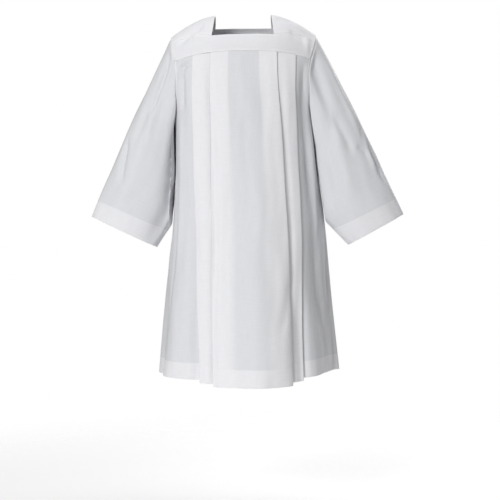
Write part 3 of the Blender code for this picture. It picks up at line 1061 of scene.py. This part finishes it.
@dataclass(frozen=True)
class Stitching:
    """Topstitching in sewing thread: short raised stitches in a row along lines on the cloth."""

    pitch: float = 3.0 * MM
    length: float = 2.3 * MM
    radius: float = 0.26 * MM
    sides: int = 5

    def rows(self, lines: list[tuple[Array, Array]]) -> tuple[Array, Array]:
        """Spindles laid end to end with small gaps along every line.

        A stitch's point is its centre + tangent x s + (normal x cos a + side x sin a) x r(s), where
        r is the half ellipse of its length.

        Args:
            lines: for each line its points, and the directions out of the cloth there.

        Returns:
            Vertices, and triangles as vertex numbers.
        """
        places = np.array([-0.36, 0.0, 0.36]) * self.length
        radii = self.radius * np.sqrt(1.0 - (places / (0.5 * self.length)) ** 2)
        angle = np.linspace(0.0, 2.0 * math.pi, self.sides, endpoint=False)
        along = np.concatenate([[-0.5 * self.length], np.repeat(places, self.sides), [0.5 * self.length]])
        out = np.concatenate([[0.0], np.outer(radii, np.cos(angle)).ravel(), [0.0]])
        aside = np.concatenate([[0.0], np.outer(radii, np.sin(angle)).ravel(), [0.0]])
        vertices = []
        for points, normals in lines:
            run = lengths(points, axis=0)
            centre = np.arange(self.pitch / 2, run[-1], self.pitch)

            def read(values: Array, where: Array) -> Array:
                """The values along this line at those distances."""
                return np.stack([np.interp(where, run, values[:, k]) for k in range(3)], axis=-1)

            tangent = unit(read(points, centre + self.length / 2) - read(points, centre - self.length / 2))
            normal = unit(read(normals, centre))
            side = unit(np.cross(tangent, normal))
            vertices.append(
                read(points, centre)[:, None]
                + tangent[:, None] * along[None, :, None]
                + normal[:, None] * out[None, :, None]
                + side[:, None] * aside[None, :, None]
            )
        vertices = np.concatenate(vertices)
        near = 1 + np.arange(self.sides)
        far = 1 + (np.arange(self.sides) + 1) % self.sides
        tip = np.full(self.sides, len(along) - 1)
        last = 2 * self.sides
        triangles = [np.stack([np.zeros(self.sides, int), far, near], -1)]
        for ring in (0, self.sides):
            triangles.append(np.stack([near + ring, far + ring, far + ring + self.sides], -1))
            triangles.append(
                np.stack([near + ring, far + ring + self.sides, near + ring + self.sides], -1)
            )
        triangles.append(np.stack([near + last, far + last, tip], -1))
        one = np.concatenate(triangles)
        every = one[None] + np.arange(len(vertices))[:, None, None] * len(along)
        return vertices.reshape(-1, 3), every.reshape(-1, 3)


STITCHING = Stitching()


def stitch_line(surface: Surface, down: bool, from_end: bool, distance: float) -> tuple[Array, Array]:
    """A line on a surface at an even distance in from one of its edges.

    Args:
        surface: the piece.
        down: True to measure down the rows, from the first or last row, and False across.
        from_end: whether to measure from the last row or column.
        distance: in from that edge.

    Returns:
        The line's points, on the cloth's outside, and the directions out of the cloth.
    """
    normals = surface.normals()
    skin = surface.grid + normals * surface.half[..., None]
    run = lengths(surface.grid, axis=0 if down else 1)
    if down:
        skin, normals, run = skin.transpose(1, 0, 2), normals.transpose(1, 0, 2), run.T
    where = run[:, -1:] - distance if from_end else np.full((len(run), 1), distance)
    points = np.stack([interp_rows(where, run, skin[..., k])[:, 0] for k in range(3)], axis=-1)
    ways = np.stack([interp_rows(where, run, normals[..., k])[:, 0] for k in range(3)], axis=-1)
    return points, unit(ways)


def add_mesh(name: str, vertices: Array, faces: Array) -> bpy.types.Mesh:
    """A mesh from whole arrays of vertices and of faces that all have as many corners.

    Args:
        name: of the mesh.
        vertices: points, one row each.
        faces: vertex numbers, one row for each face.

    Returns:
        The mesh, shaded smooth but for its sharp edges.
    """
    mesh = bpy.data.meshes.new(name)
    mesh.vertices.add(len(vertices))
    mesh.vertices.foreach_set("co", vertices.astype(np.float32).ravel())
    mesh.loops.add(faces.size)
    mesh.loops.foreach_set("vertex_index", faces.astype(np.int32).ravel())
    mesh.polygons.add(len(faces))
    mesh.polygons.foreach_set("loop_start", np.arange(0, faces.size, faces.shape[1], dtype=np.int32))
    mesh.update(calc_edges=True)
    mesh.shade_smooth()
    mesh.set_sharp_from_angle(angle=math.radians(60.0))
    return mesh


def add_piece(mesh: bpy.types.Mesh, material: bpy.types.Material) -> bpy.types.Object:
    """An object for a mesh, at the origin, in the scene."""
    mesh.materials.append(material)
    piece = bpy.data.objects.new(mesh.name, mesh)
    bpy.context.scene.collection.objects.link(piece)
    return piece


def cloth_piece(name: str, surface: Surface, material: bpy.types.Material) -> bpy.types.Object:
    """A closed piece of cloth round a surface, with its own UV map in metres along the cloth.

    The outside is the surface moved out by half its thickness, the inside is moved in as far, and a
    rim joins them along every free edge. The attribute called cover says how little shows through.

    Args:
        name: of the piece.
        surface: what it runs through.
        material: of the cloth.

    Returns:
        The new object.
    """
    grid, ring = surface.grid, surface.ring
    rows, columns = grid.shape[:2]
    push = surface.normals() * surface.half[..., None]
    vertices = np.concatenate([(grid + push).reshape(-1, 3), (grid - push).reshape(-1, 3)])
    inner = rows * columns
    i = np.arange(rows - 1)[:, None]
    j = np.arange(columns if ring else columns - 1)[None, :]
    k = (j + 1) % columns
    corners = [i * columns + j, i * columns + k, (i + 1) * columns + k, (i + 1) * columns + j]
    outside = np.stack(np.broadcast_arrays(*corners), axis=-1).reshape(-1, 4)
    number = np.arange(inner).reshape(rows, columns)
    if ring:
        here = np.concatenate([number[0], np.roll(number[-1], -1)])
        there = np.concatenate([np.roll(number[0], -1), number[-1]])
    else:
        here = np.concatenate(
            [number[0, :-1], number[:-1, -1], number[-1, :0:-1], number[:0:-1, 0]]
        )
        there = np.roll(here, -1)
    rim = np.stack([there, here, here + inner, there + inner], axis=-1)
    faces = np.concatenate([outside, outside[:, ::-1] + inner, rim])

    closed = np.concatenate([grid, grid[:, :1]], axis=1) if ring else grid
    across = lengths(closed, axis=1)
    across = across - across[:, -1:] / 2
    down = np.broadcast_to(lengths(closed, axis=0).mean(axis=1, keepdims=True), across.shape)
    wide = closed.shape[1]
    uv = np.stack([across, down], axis=-1).reshape(-1, 2)
    spots = [i * wide + j, i * wide + j + 1, (i + 1) * wide + j + 1, (i + 1) * wide + j]
    outside_uv = np.stack(np.broadcast_arrays(*spots), axis=-1).reshape(-1, 4)
    row, column = here // columns, here % columns
    here_uv = row * wide + column
    there_uv = (there // columns) * wide + there % columns
    rim_uv = np.stack([there_uv, here_uv, here_uv, there_uv], axis=-1)
    face_uv = np.concatenate([outside_uv, outside_uv[:, ::-1], rim_uv])
    if surface.outward < 0:
        faces, face_uv = faces[:, ::-1], face_uv[:, ::-1]

    mesh = add_mesh(name, vertices, faces)
    layer = mesh.uv_layers.new(name="along_cloth")
    layer.uv.foreach_set("vector", uv[face_uv.ravel()].astype(np.float32).ravel())
    cover = np.tile(CLOTH.cover(surface.layers).ravel(), 2).astype(np.float32)
    mesh.attributes.new("cover", "FLOAT", "POINT").data.foreach_set("value", cover)
    return add_piece(mesh, material)


def linear(colour: str) -> tuple[float, float, float, float]:
    """A colour given as sRGB hex, such as "#F2F2F4", turned to linear values with full alpha."""
    channels = (int(colour[i : i + 2], 16) / 255 for i in (1, 3, 5))
    return (*(c / 12.92 if c <= 0.04045 else ((c + 0.055) / 1.055) ** 2.4 for c in channels), 1.0)


def add_node(
    tree: bpy.types.NodeTree, kind: str, settings: dict | None = None, inputs: dict | None = None
) -> bpy.types.Node:
    """Adds a node with its settings, and with its inputs set or linked.

    Args:
        tree: the node tree.
        kind: the node's type.
        settings: the node's own properties.
        inputs: for each input socket, by name or number, a value or the socket that feeds it.

    Returns:
        The new node.
    """
    node = tree.nodes.new(kind)
    for key, value in (settings or {}).items():
        setattr(node, key, value)
    for key, value in (inputs or {}).items():
        if isinstance(value, bpy.types.NodeSocket):
            tree.links.new(value, node.inputs[key])
        else:
            node.inputs[key].default_value = value
    return node


def new_material(name: str) -> tuple[bpy.types.Material, bpy.types.NodeTree, bpy.types.Node]:
    """An empty material with its tree and its Principled BSDF, already joined to the output."""
    material = bpy.data.materials.new(name)
    material.use_nodes = True
    tree = material.node_tree
    return material, tree, tree.nodes["Principled BSDF"]


@dataclass(frozen=True)
class PolyCottonWeave:
    """Plain-woven white polyester and cotton: fine, matt and slightly sheer.

    One layer lets some of the dark behind it through and looks pale grey, and two or more look
    nearly pure white. Uneven cotton threads give faint streaks both ways, and the thread crossings a
    fine even grain that only shows close up.
    """

    name: str = "Plain-woven polyester and cotton"
    one_layer: str = "#D8D9DC"
    many_layers: str = "#E8E8EB"
    roughness: float = 0.82
    ior: float = 1.53
    sheen: float = 0.12
    sheen_roughness: float = 0.45
    thread: float = 0.55 * MM
    crossing_height: float = 0.06 * MM
    slub_width: float = 1.6 * MM
    slub_length: float = 38.0 * MM
    slub_shade: float = 0.035
    slub_height: float = 0.05 * MM

    def material(self) -> bpy.types.Material:
        """The finish as a material.

        The crossings are sin(2 pi u / pitch) x sin(2 pi v / pitch), with the pitch of two threads, and
        the streaks are noise drawn out along the warp and along the weft. The real thread is about
        0.2 mm and is drawn coarser here, so that the grain shows from close by.
        """
        material, tree, shader = new_material(self.name)
        spot = add_node(tree, "ShaderNodeUVMap", {"uv_map": "along_cloth"}).outputs["UV"]
        split = add_node(tree, "ShaderNodeSeparateXYZ", None, {"Vector": spot})
        waves = []
        for axis in ("X", "Y"):
            turn = 2.0 * math.pi / (2.0 * self.thread)
            phase = add_node(
                tree, "ShaderNodeMath", {"operation": "MULTIPLY"}, {0: split.outputs[axis], 1: turn}
            )
            waves.append(add_node(tree, "ShaderNodeMath", {"operation": "SINE"}, {0: phase.outputs[0]}))
        crossings = add_node(
            tree,
            "ShaderNodeMath",
            {"operation": "MULTIPLY"},
            {0: waves[0].outputs[0], 1: waves[1].outputs[0]},
        )
        streaks = []
        for scale in ((self.slub_width, self.slub_length), (self.slub_length, self.slub_width)):
            size = (1.0 / scale[0], 1.0 / scale[1], 1.0)
            place = add_node(tree, "ShaderNodeMapping", None, {"Vector": spot, "Scale": size})
            streaks.append(
                add_node(
                    tree,
                    "ShaderNodeTexNoise",
                    {"noise_dimensions": "2D"},
                    {"Vector": place.outputs[0], "Scale": 1.0, "Detail": 2.0, "Roughness": 0.55},
                )
            )
        slub = add_node(
            tree,
            "ShaderNodeMath",
            {"operation": "ADD"},
            {0: streaks[0].outputs["Fac"], 1: streaks[1].outputs["Fac"]},
        )
        cover = add_node(tree, "ShaderNodeAttribute", {"attribute_name": "cover"})
        one = CLOTH.cover(1.0)
        share = add_node(
            tree,
            "ShaderNodeMapRange",
            None,
            {"Value": cover.outputs["Fac"], "From Min": one, "From Max": 1.0},
        )
        colour = add_node(
            tree,
            "ShaderNodeMix",
            {"data_type": "RGBA"},
            {0: share.outputs[0], 6: linear(self.one_layer), 7: linear(self.many_layers)},
        )
        shade = add_node(
            tree,
            "ShaderNodeMapRange",
            None,
            {
                "Value": slub.outputs[0],
                "From Min": 0.6,
                "From Max": 1.4,
                "To Min": 1.0 - self.slub_shade,
                "To Max": 1.0 + self.slub_shade,
            },
        )
        shaded = add_node(
            tree,
            "ShaderNodeMix",
            {"data_type": "RGBA", "blend_type": "MULTIPLY"},
            {0: 1.0, 6: colour.outputs[2], 7: shade.outputs[0]},
        )
        grain = add_node(
            tree,
            "ShaderNodeBump",
            None,
            {"Height": crossings.outputs[0], "Strength": 0.5, "Distance": self.crossing_height},
        )
        relief = add_node(
            tree,
            "ShaderNodeBump",
            None,
            {
                "Height": slub.outputs[0],
                "Strength": 0.6,
                "Distance": self.slub_height,
                "Normal": grain.outputs[0],
            },
        )
        tree.links.new(shaded.outputs[2], shader.inputs["Base Color"])
        tree.links.new(relief.outputs[0], shader.inputs["Normal"])
        shader.inputs["Roughness"].default_value = self.roughness
        shader.inputs["IOR"].default_value = self.ior
        shader.inputs["Sheen Weight"].default_value = self.sheen
        shader.inputs["Sheen Roughness"].default_value = self.sheen_roughness
        return material


@dataclass(frozen=True)
class SewingThread:
    """Spun polyester sewing thread: white, twisted, and a little brighter than the cloth."""

    name: str = "Spun polyester thread"
    colour: str = "#F6F6F6"
    shadow: str = "#DADADC"
    roughness: float = 0.55
    ior: float = 1.57
    twist: float = 0.7 * MM

    def material(self) -> bpy.types.Material:
        """The finish as a material, with painted shade in diagonal bands across it, where the grooves of
        the thread's twist would be in shade.
        """
        material, tree, shader = new_material(self.name)
        spot = add_node(tree, "ShaderNodeTexCoord").outputs["Object"]
        bands = add_node(
            tree,
            "ShaderNodeTexWave",
            {"bands_direction": "DIAGONAL"},
            {"Vector": spot, "Scale": 1.0 / self.twist, "Distortion": 0.6},
        )
        # Painted shade: the bands mix the darker shadow colour into the white where the twist's grooves
        # lie.
        colour = add_node(
            tree,
            "ShaderNodeMix",
            {"data_type": "RGBA"},
            {0: bands.outputs["Fac"], 6: linear(self.shadow), 7: linear(self.colour)},
        )
        tree.links.new(colour.outputs[2], shader.inputs["Base Color"])
        shader.inputs["Roughness"].default_value = self.roughness
        shader.inputs["IOR"].default_value = self.ior
        return material


@dataclass(frozen=True)
class StudioFloor:
    """Matt white painted board. It dies away with distance, so that no horizon shows."""

    name: str = "Matt white floor"
    colour: str = "#FFFFFF"
    roughness: float = 0.9
    clear_from: float = 0.3
    clear_to: float = 2.4

    def material(self) -> bpy.types.Material:
        """The finish as a material, mixed with a clear one by the distance from the middle."""
        material, tree, shader = new_material(self.name)
        shader.inputs["Base Color"].default_value = linear(self.colour)
        shader.inputs["Roughness"].default_value = self.roughness
        spot = add_node(tree, "ShaderNodeTexCoord").outputs["Object"]
        far = add_node(tree, "ShaderNodeVectorMath", {"operation": "LENGTH"}, {0: spot})
        share = add_node(
            tree,
            "ShaderNodeMapRange",
            {"interpolation_type": "SMOOTHSTEP"},
            {"Value": far.outputs["Value"], "From Min": self.clear_from, "From Max": self.clear_to},
        )
        clear = add_node(tree, "ShaderNodeBsdfTransparent")
        blend = add_node(
            tree,
            "ShaderNodeMixShader",
            None,
            {0: share.outputs[0], 1: shader.outputs[0], 2: clear.outputs[0]},
        )
        tree.links.new(blend.outputs[0], tree.nodes["Material Output"].inputs["Surface"])
        return material


@dataclass(frozen=True)
class SoftLight:
    """A square softbox, by its place, size and power, aimed at a point of the garment."""

    name: str
    place: Vertices
    size: float
    watts: float
    aim: Vertices = (0.0, 0.0, -0.55)

    def add(self) -> None:
        """Puts the light in the scene."""
        lamp = bpy.data.lights.new(self.name, "AREA")
        lamp.energy = self.watts
        lamp.size = self.size
        light = bpy.data.objects.new(self.name, lamp)
        light.location = self.place
        way = Vector(self.aim) - Vector(self.place)
        light.rotation_mode = "QUATERNION"
        light.rotation_quaternion = way.to_track_quat("-Z", "Y")
        bpy.context.scene.collection.objects.link(light)


@dataclass(frozen=True)
class Studio:
    """The floor, the lights, the pale surroundings and the camera at the photograph's angle."""

    floor_height: float = -1.50
    floor_radius: float = 2.7
    floor_sides: int = 96
    backdrop: str = "#FFFFFF"
    surround_strength: float = 0.205
    camera_place: Vertices = (0.009, -3.6, -0.701)
    camera_roll: float = -0.93
    lens: float = 86.4
    lights: tuple[SoftLight, ...] = (
        SoftLight("Key softbox", (-1.8, -3.75, 0.6), 1.3, 131.0),
        SoftLight("Front softbox", (-0.4, -3.9, -0.5), 1.0, 3.0),
        SoftLight("Fill softbox", (3.3, -0.6, 0.2), 1.8, 7.0),
        SoftLight("Top softbox", (0.7, 0.2, 2.3), 1.8, 34.0),
        SoftLight("Back softbox", (1.9, 3.3, 0.9), 1.6, 112.0),
    )

    def build(self) -> None:
        """Makes the whole studio."""
        self.add_floor()
        self.add_surroundings()
        self.add_camera()
        for light in self.lights:
            light.add()
        bpy.context.scene.view_settings.view_transform = "Standard"

    def add_floor(self) -> None:
        """A round floor, as a fan of triangles about its middle."""
        angle = np.linspace(0.0, 2.0 * math.pi, self.floor_sides, endpoint=False)
        rim = np.stack([np.cos(angle), np.sin(angle), np.zeros_like(angle)], -1) * self.floor_radius
        vertices = np.concatenate([np.zeros((1, 3)), rim])
        near = 1 + np.arange(self.floor_sides)
        faces = np.stack([np.zeros_like(near), near, 1 + near % self.floor_sides], axis=-1)
        floor = add_piece(add_mesh("studio_floor", vertices, faces), StudioFloor().material())
        floor.location.z = self.floor_height

    def add_surroundings(self) -> None:
        """Pale light from all round, with pure white where the camera sees past the garment."""
        world = bpy.data.worlds.new("Pale studio")
        bpy.context.scene.world = world
        world.use_nodes = True
        tree = world.node_tree
        tree.nodes.clear()
        white = linear(self.backdrop)
        lit = add_node(
            tree, "ShaderNodeBackground", None, {"Color": white, "Strength": self.surround_strength}
        )
        seen = add_node(tree, "ShaderNodeBackground", None, {"Color": white, "Strength": 1.0})
        path = add_node(tree, "ShaderNodeLightPath")
        blend = add_node(
            tree,
            "ShaderNodeMixShader",
            None,
            {0: path.outputs["Is Camera Ray"], 1: lit.outputs[0], 2: seen.outputs[0]},
        )
        add_node(tree, "ShaderNodeOutputWorld", None, {"Surface": blend.outputs[0]})

    def add_camera(self) -> None:
        """A long lens, level with the middle of the garment, with the photograph's slight roll."""
        data = bpy.data.cameras.new("Camera")
        data.lens = self.lens
        camera = bpy.data.objects.new("Camera", data)
        camera.location = self.camera_place
        level = Euler((math.radians(90.0), 0.0, 0.0)).to_quaternion()
        camera.rotation_mode = "QUATERNION"
        camera.rotation_quaternion = level @ Quaternion((0, 0, 1), math.radians(self.camera_roll))
        bpy.context.scene.collection.objects.link(camera)
        bpy.context.scene.camera = camera


FRONT_SKIRT = Skirt(
    name="front_skirt",
    face=Face.FRONT,
    pleats={
        Side.LEFT: (
            Pleat((0.099, 0.106, 0.105, 0.114, 0.120), 0.051, 0.050),
            Pleat((0.156, 0.157, 0.153, 0.157, 0.159), 0.051, 0.046),
        ),
        Side.RIGHT: (
            Pleat((0.093, 0.095, 0.105, 0.103, 0.101), 0.051, 0.050),
            Pleat((0.146, 0.150, 0.156, 0.150, 0.142), 0.051, 0.046),
        ),
    },
    folds={
        Side.LEFT: (SideFold(0.085, 0.085, -0.030, 0.10),),
        Side.RIGHT: (SideFold(0.060, 0.030, -0.012, 0.25), SideFold(0.135, 0.050, 0.008, 0.15)),
    },
    swells=(Swell(0.034, 0.080, 0.042, 0.00),),
    creases=(
        Crease((0.186, -0.05), (0.200, 0.50), 0.017, -0.0095, 0.002),
        Crease((0.204, 0.18), (0.240, 0.90), 0.032, -0.0085, 0.004, 0.4),
        Crease((0.112, -0.02), (0.124, 1.20), 0.009, -0.0040, 0.002, 0.20),
        Crease((0.130, 0.52), (0.170, 1.30), 0.024, -0.0125, 0.000, 0.4),
        Crease((0.118, 0.64), (0.084, 0.84), 0.011, -0.0040, 0.004),
        Crease((-0.092, -0.05), (-0.100, 1.20), 0.012, -0.0080, 0.000, 0.2),
        Crease((-0.158, 0.30), (-0.152, 1.25), 0.016, -0.0060, 0.003),
        Crease((-0.148, 0.016), (-0.205, 0.026), 0.009, -0.0070, 0.002),
        Crease((-0.160, 0.050), (-0.200, 0.036), 0.008, 0.0035, 0.002),
        Crease((-0.045, 0.20), (-0.060, 0.95), 0.018, -0.0030, -0.006),
        Crease((0.010, 0.05), (0.022, 0.70), 0.022, 0.0025, 0.008),
        Crease((-0.175, -0.03), (-0.186, 0.16), 0.010, -0.0070, 0.0, 0.2),
        Crease((-0.195, 0.10), (-0.225, 0.70), 0.012, 0.0040, -0.004),
        Crease((-0.235, 0.45), (-0.285, 0.93), 0.012, -0.0050, 0.006),
        Crease((0.215, 0.16), (0.245, 0.60), 0.012, 0.0045, 0.004),
        Crease((0.262, 0.70), (0.300, 0.92), 0.016, -0.0035, 0.0),
        Crease((0.225, 0.78), (0.262, 0.97), 0.014, 0.0030, 0.0),
        Crease((0.335, 0.76), (0.318, 0.98), 0.011, 0.0040, 0.0),
    ),
    flat=(1.20, 1.03),
    flat_area=1.06,
    seam_height=-0.123,
    seam_dip=0.021,
    seed=11,
)
BACK_SKIRT = Skirt(
    name="back_skirt",
    face=Face.BACK,
    pleats={
        Side.LEFT: (
            Pleat((0.097, 0.101, 0.104, 0.110, 0.115), 0.051, 0.050),
            Pleat((0.152, 0.154, 0.155, 0.156, 0.158), 0.051, 0.046),
        ),
        Side.RIGHT: (
            Pleat((0.098, 0.102, 0.110, 0.115, 0.119), 0.051, 0.050),
            Pleat((0.152, 0.154, 0.159, 0.160, 0.161), 0.051, 0.046),
        ),
    },
    folds={
        Side.LEFT: (SideFold(0.070, 0.030, -0.013, 0.25), SideFold(0.140, 0.030, 0.011, 0.20)),
        Side.RIGHT: (SideFold(0.080, 0.032, -0.014, 0.30), SideFold(0.150, 0.030, 0.010, 0.25)),
    },
    swells=(Swell(-0.030, 0.080, 0.012, 0.10),),
    creases=(
        Crease((0.168, -0.02), (0.180, 0.34), 0.010, -0.0060, 0.003, 0.15),
        Crease((-0.168, -0.02), (-0.176, 0.46), 0.009, -0.0065, -0.002, 0.15),
        Crease((0.085, 0.15), (0.096, 0.85), 0.015, 0.0030, -0.005),
        Crease((-0.070, 0.30), (-0.090, 0.95), 0.016, -0.0032, 0.006),
        Crease((0.020, 0.10), (-0.012, 0.80), 0.022, 0.0028, 0.008),
        Crease((0.205, 0.15), (0.242, 0.66), 0.012, 0.0030, 0.004),
        Crease((-0.212, 0.22), (-0.236, 0.74), 0.013, 0.0020, -0.004),
        Crease((0.255, 0.55), (0.290, 0.93), 0.012, -0.0045, 0.004),
        Crease((-0.268, 0.62), (-0.300, 0.95), 0.011, -0.0040, -0.003),
    ),
    flat=(1.18, 1.06),
    flat_area=1.07,
    seam_height=-0.090,
    seam_dip=0.030,
    seed=23,
)
FRONT_YOKE = Yoke(
    skirt=FRONT_SKIRT,
    creases=(
        Crease((0.098, 0.065), (0.150, 0.042), 0.007, -0.0036, 0.002),
        Crease((0.104, 0.086), (0.190, 0.066), 0.008, 0.0026, 0.003),
        Crease((0.130, 0.112), (0.190, 0.098), 0.010, -0.0045, 0.002),
        Crease((0.192, 0.070), (0.196, 0.135), 0.008, 0.0020, 0.0),
        Crease((-0.105, 0.092), (-0.200, 0.088), 0.013, -0.0070, 0.003),
        Crease((-0.120, 0.122), (-0.188, 0.122), 0.008, 0.0026, 0.0),
        Crease((-0.100, 0.060), (-0.180, 0.048), 0.012, 0.0015, 0.0),
    ),
    neckline_turn=0.733,
    seed=31,
)
BACK_YOKE = Yoke(
    skirt=BACK_SKIRT,
    creases=(
        Crease((0.105, 0.075), (0.180, 0.095), 0.009, -0.0022, 0.002),
        Crease((-0.110, 0.080), (-0.188, 0.075), 0.010, -0.0020, 0.002),
        Crease((-0.060, 0.085), (0.050, 0.090), 0.012, 0.0012, 0.003),
    ),
    neckline_turn=0.460,
    seed=37,
)
BANDS = (
    Band("front_band", FRONT_YOKE, (0.46, 0.090), 0.0255),
    Band("back_band", BACK_YOKE, (0.46, 0.105), 0.0360),
)
STRAPS = (
    Strap("left_strap", Side.LEFT, FRONT_YOKE, BACK_YOKE, (0.150, 0.200), 0.0235),
    Strap("right_strap", Side.RIGHT, FRONT_YOKE, BACK_YOKE, (0.150, 0.200), 0.0235),
)
SLEEVES = (
    Sleeve(
        name="left_sleeve",
        side=Side.LEFT,
        front=FRONT_YOKE,
        back=BACK_YOKE,
        outer_cuff=(0.468, -0.600),
        inner_cuff=(0.302, -0.689),
        beside_body=0.750,
        depth_cuff=0.064,
        creases=(
            Crease((0.070, -0.05), (0.156, 0.25), 0.023, -0.0105, 0.004),
            Crease((0.124, 0.16), (0.108, 0.31), 0.011, -0.0060, -0.003),
            Crease((0.048, 0.02), (0.060, 0.30), 0.012, 0.0050, 0.0),
            Crease((0.030, 0.26), (0.062, 0.40), 0.010, 0.0060, 0.006),
            Crease((0.092, 0.29), (0.064, 0.345), 0.008, -0.0036, -0.004),
            Crease((0.036, 0.23), (0.044, 0.45), 0.012, -0.0070, 0.004),
            Crease((0.130, 0.06), (0.150, 0.46), 0.020, 0.0060, 0.0),
            Crease((0.185, 0.10), (0.175, 0.50), 0.018, -0.0060, 0.0),
            Crease((0.365, 0.03), (0.365, 0.52), 0.024, 0.0070, 0.0),
            Crease((0.450, 0.04), (0.440, 0.42), 0.022, -0.0070, 0.004),
            Crease((0.505, 0.10), (0.480, 0.48), 0.016, 0.0050, 0.0),
        ),
        flat=(0.66, 0.64),
        flat_area=0.330,
        seed=41,
    ),
    Sleeve(
        name="right_sleeve",
        side=Side.RIGHT,
        front=FRONT_YOKE,
        back=BACK_YOKE,
        outer_cuff=(0.461, -0.593),
        inner_cuff=(0.267, -0.688),
        beside_body=0.705,
        depth_cuff=0.058,
        press=0.014,
        creases=(
            Crease((0.064, 0.00), (0.098, 0.20), 0.010, -0.0110, 0.003),
            Crease((0.090, 0.08), (0.112, 0.26), 0.012, 0.0045, 0.0),
            Crease((0.042, 0.28), (0.086, 0.41), 0.009, -0.0075, 0.0),
            Crease((0.075, 0.14), (0.078, 0.30), 0.010, -0.0035, 0.0),
            Crease((0.105, 0.20), (0.100, 0.50), 0.020, 0.0055, 0.0),
            Crease((0.212, -0.04), (0.230, 0.56), 0.030, -0.0160, 0.0),
            Crease((0.258, 0.22), (0.272, 0.62), 0.016, -0.0080, 0.0),
            Crease((0.375, 0.03), (0.372, 0.52), 0.026, 0.0060, 0.0),
            Crease((0.445, 0.06), (0.436, 0.46), 0.020, -0.0065, 0.004),
            Crease((0.510, 0.08), (0.495, 0.40), 0.015, 0.0040, 0.0),
        ),
        flat=(0.66, 0.63),
        flat_area=0.328,
        seed=47,
    ),
)
SOLIDS = {
    "front_skirt": "front_panel",
    "back_skirt": "back_panel",
    "front_band": "front_yoke_band",
    "back_band": "back_yoke_band",
    "left_strap": "shoulder_yoke_left",
    "right_strap": "shoulder_yoke_right",
    "left_sleeve": "sleeve_left",
    "right_sleeve": "sleeve_right",
}


@dataclass(frozen=True)
class Surplice:
    """The whole garment: its panels, its yoke, its sleeves and the stitching on them."""

    skirts: tuple[Skirt, ...] = (FRONT_SKIRT, BACK_SKIRT)
    bands: tuple[Band, ...] = BANDS
    straps: tuple[Strap, ...] = STRAPS
    sleeves: tuple[Sleeve, ...] = SLEEVES

    def build(self) -> None:
        """Makes every piece with its stitches, and hides the solid that it stands for."""
        cloth, thread = PolyCottonWeave().material(), SewingThread().material()
        for parts, slot, find_lines in (
            (self.skirts, Slot.SINGLE, self.hem_lines),
            (self.bands, Slot.DOUBLED, self.band_lines),
            (self.straps, Slot.DOUBLED, self.strap_lines),
            (self.sleeves, Slot.SINGLE, self.hem_lines),
        ):
            for part in parts:
                surface = part.surface()
                piece = cloth_piece(part.name, surface, cloth)
                rows = STITCHING.rows(find_lines(part, surface))
                stitches = add_piece(add_mesh(f"{part.name}_topstitching", *rows), thread)
                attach(piece, "root")
                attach(stitches, "root")
                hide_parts(SOLIDS[part.name])
                log.info("%s: %d faces", part.name, len(piece.data.polygons))

    def hem_lines(self, part: Skirt | Sleeve, surface: Surface) -> list[tuple[Array, Array]]:
        """The line of stitches along the top of a panel's hem or of a sleeve's."""
        row = part.hem_row
        ways = surface.normals()
        skin = surface.grid + ways * surface.half[..., None]
        points = mix(skin[row], skin[row + 1], 0.5)
        if surface.ring:
            return [(np.concatenate([points, points[:1]]), np.concatenate([ways[row], ways[row, :1]]))]
        return [(points, ways[row])]

    def band_lines(self, band: Band, surface: Surface) -> list[tuple[Array, Array]]:
        """The lines of stitches all round a yoke band, but for its seams with the straps."""
        inset = YOKE_CLOTH.channel_place
        top, ways = stitch_line(surface, True, False, inset)
        inside = np.abs(top[:, 0]) < band.yoke.neck_half + inset
        ends = [stitch_line(surface, False, end, inset) for end in (False, True)]
        return [stitch_line(surface, True, True, inset), (top[inside], ways[inside]), *ends]

    def strap_lines(self, strap: Strap, surface: Surface) -> list[tuple[Array, Array]]:
        """The lines of stitches along a strap's neck edge and its armhole edge."""
        inset = YOKE_CLOTH.channel_place
        return [stitch_line(surface, False, end, inset) for end in (False, True)]


def main() -> None:
    """Builds the garment and the studio."""
    logging.basicConfig(level=logging.INFO, format="%(name)s: %(message)s")
    Surplice().build()
    Studio().build()


if __name__ == "__main__":
    main()
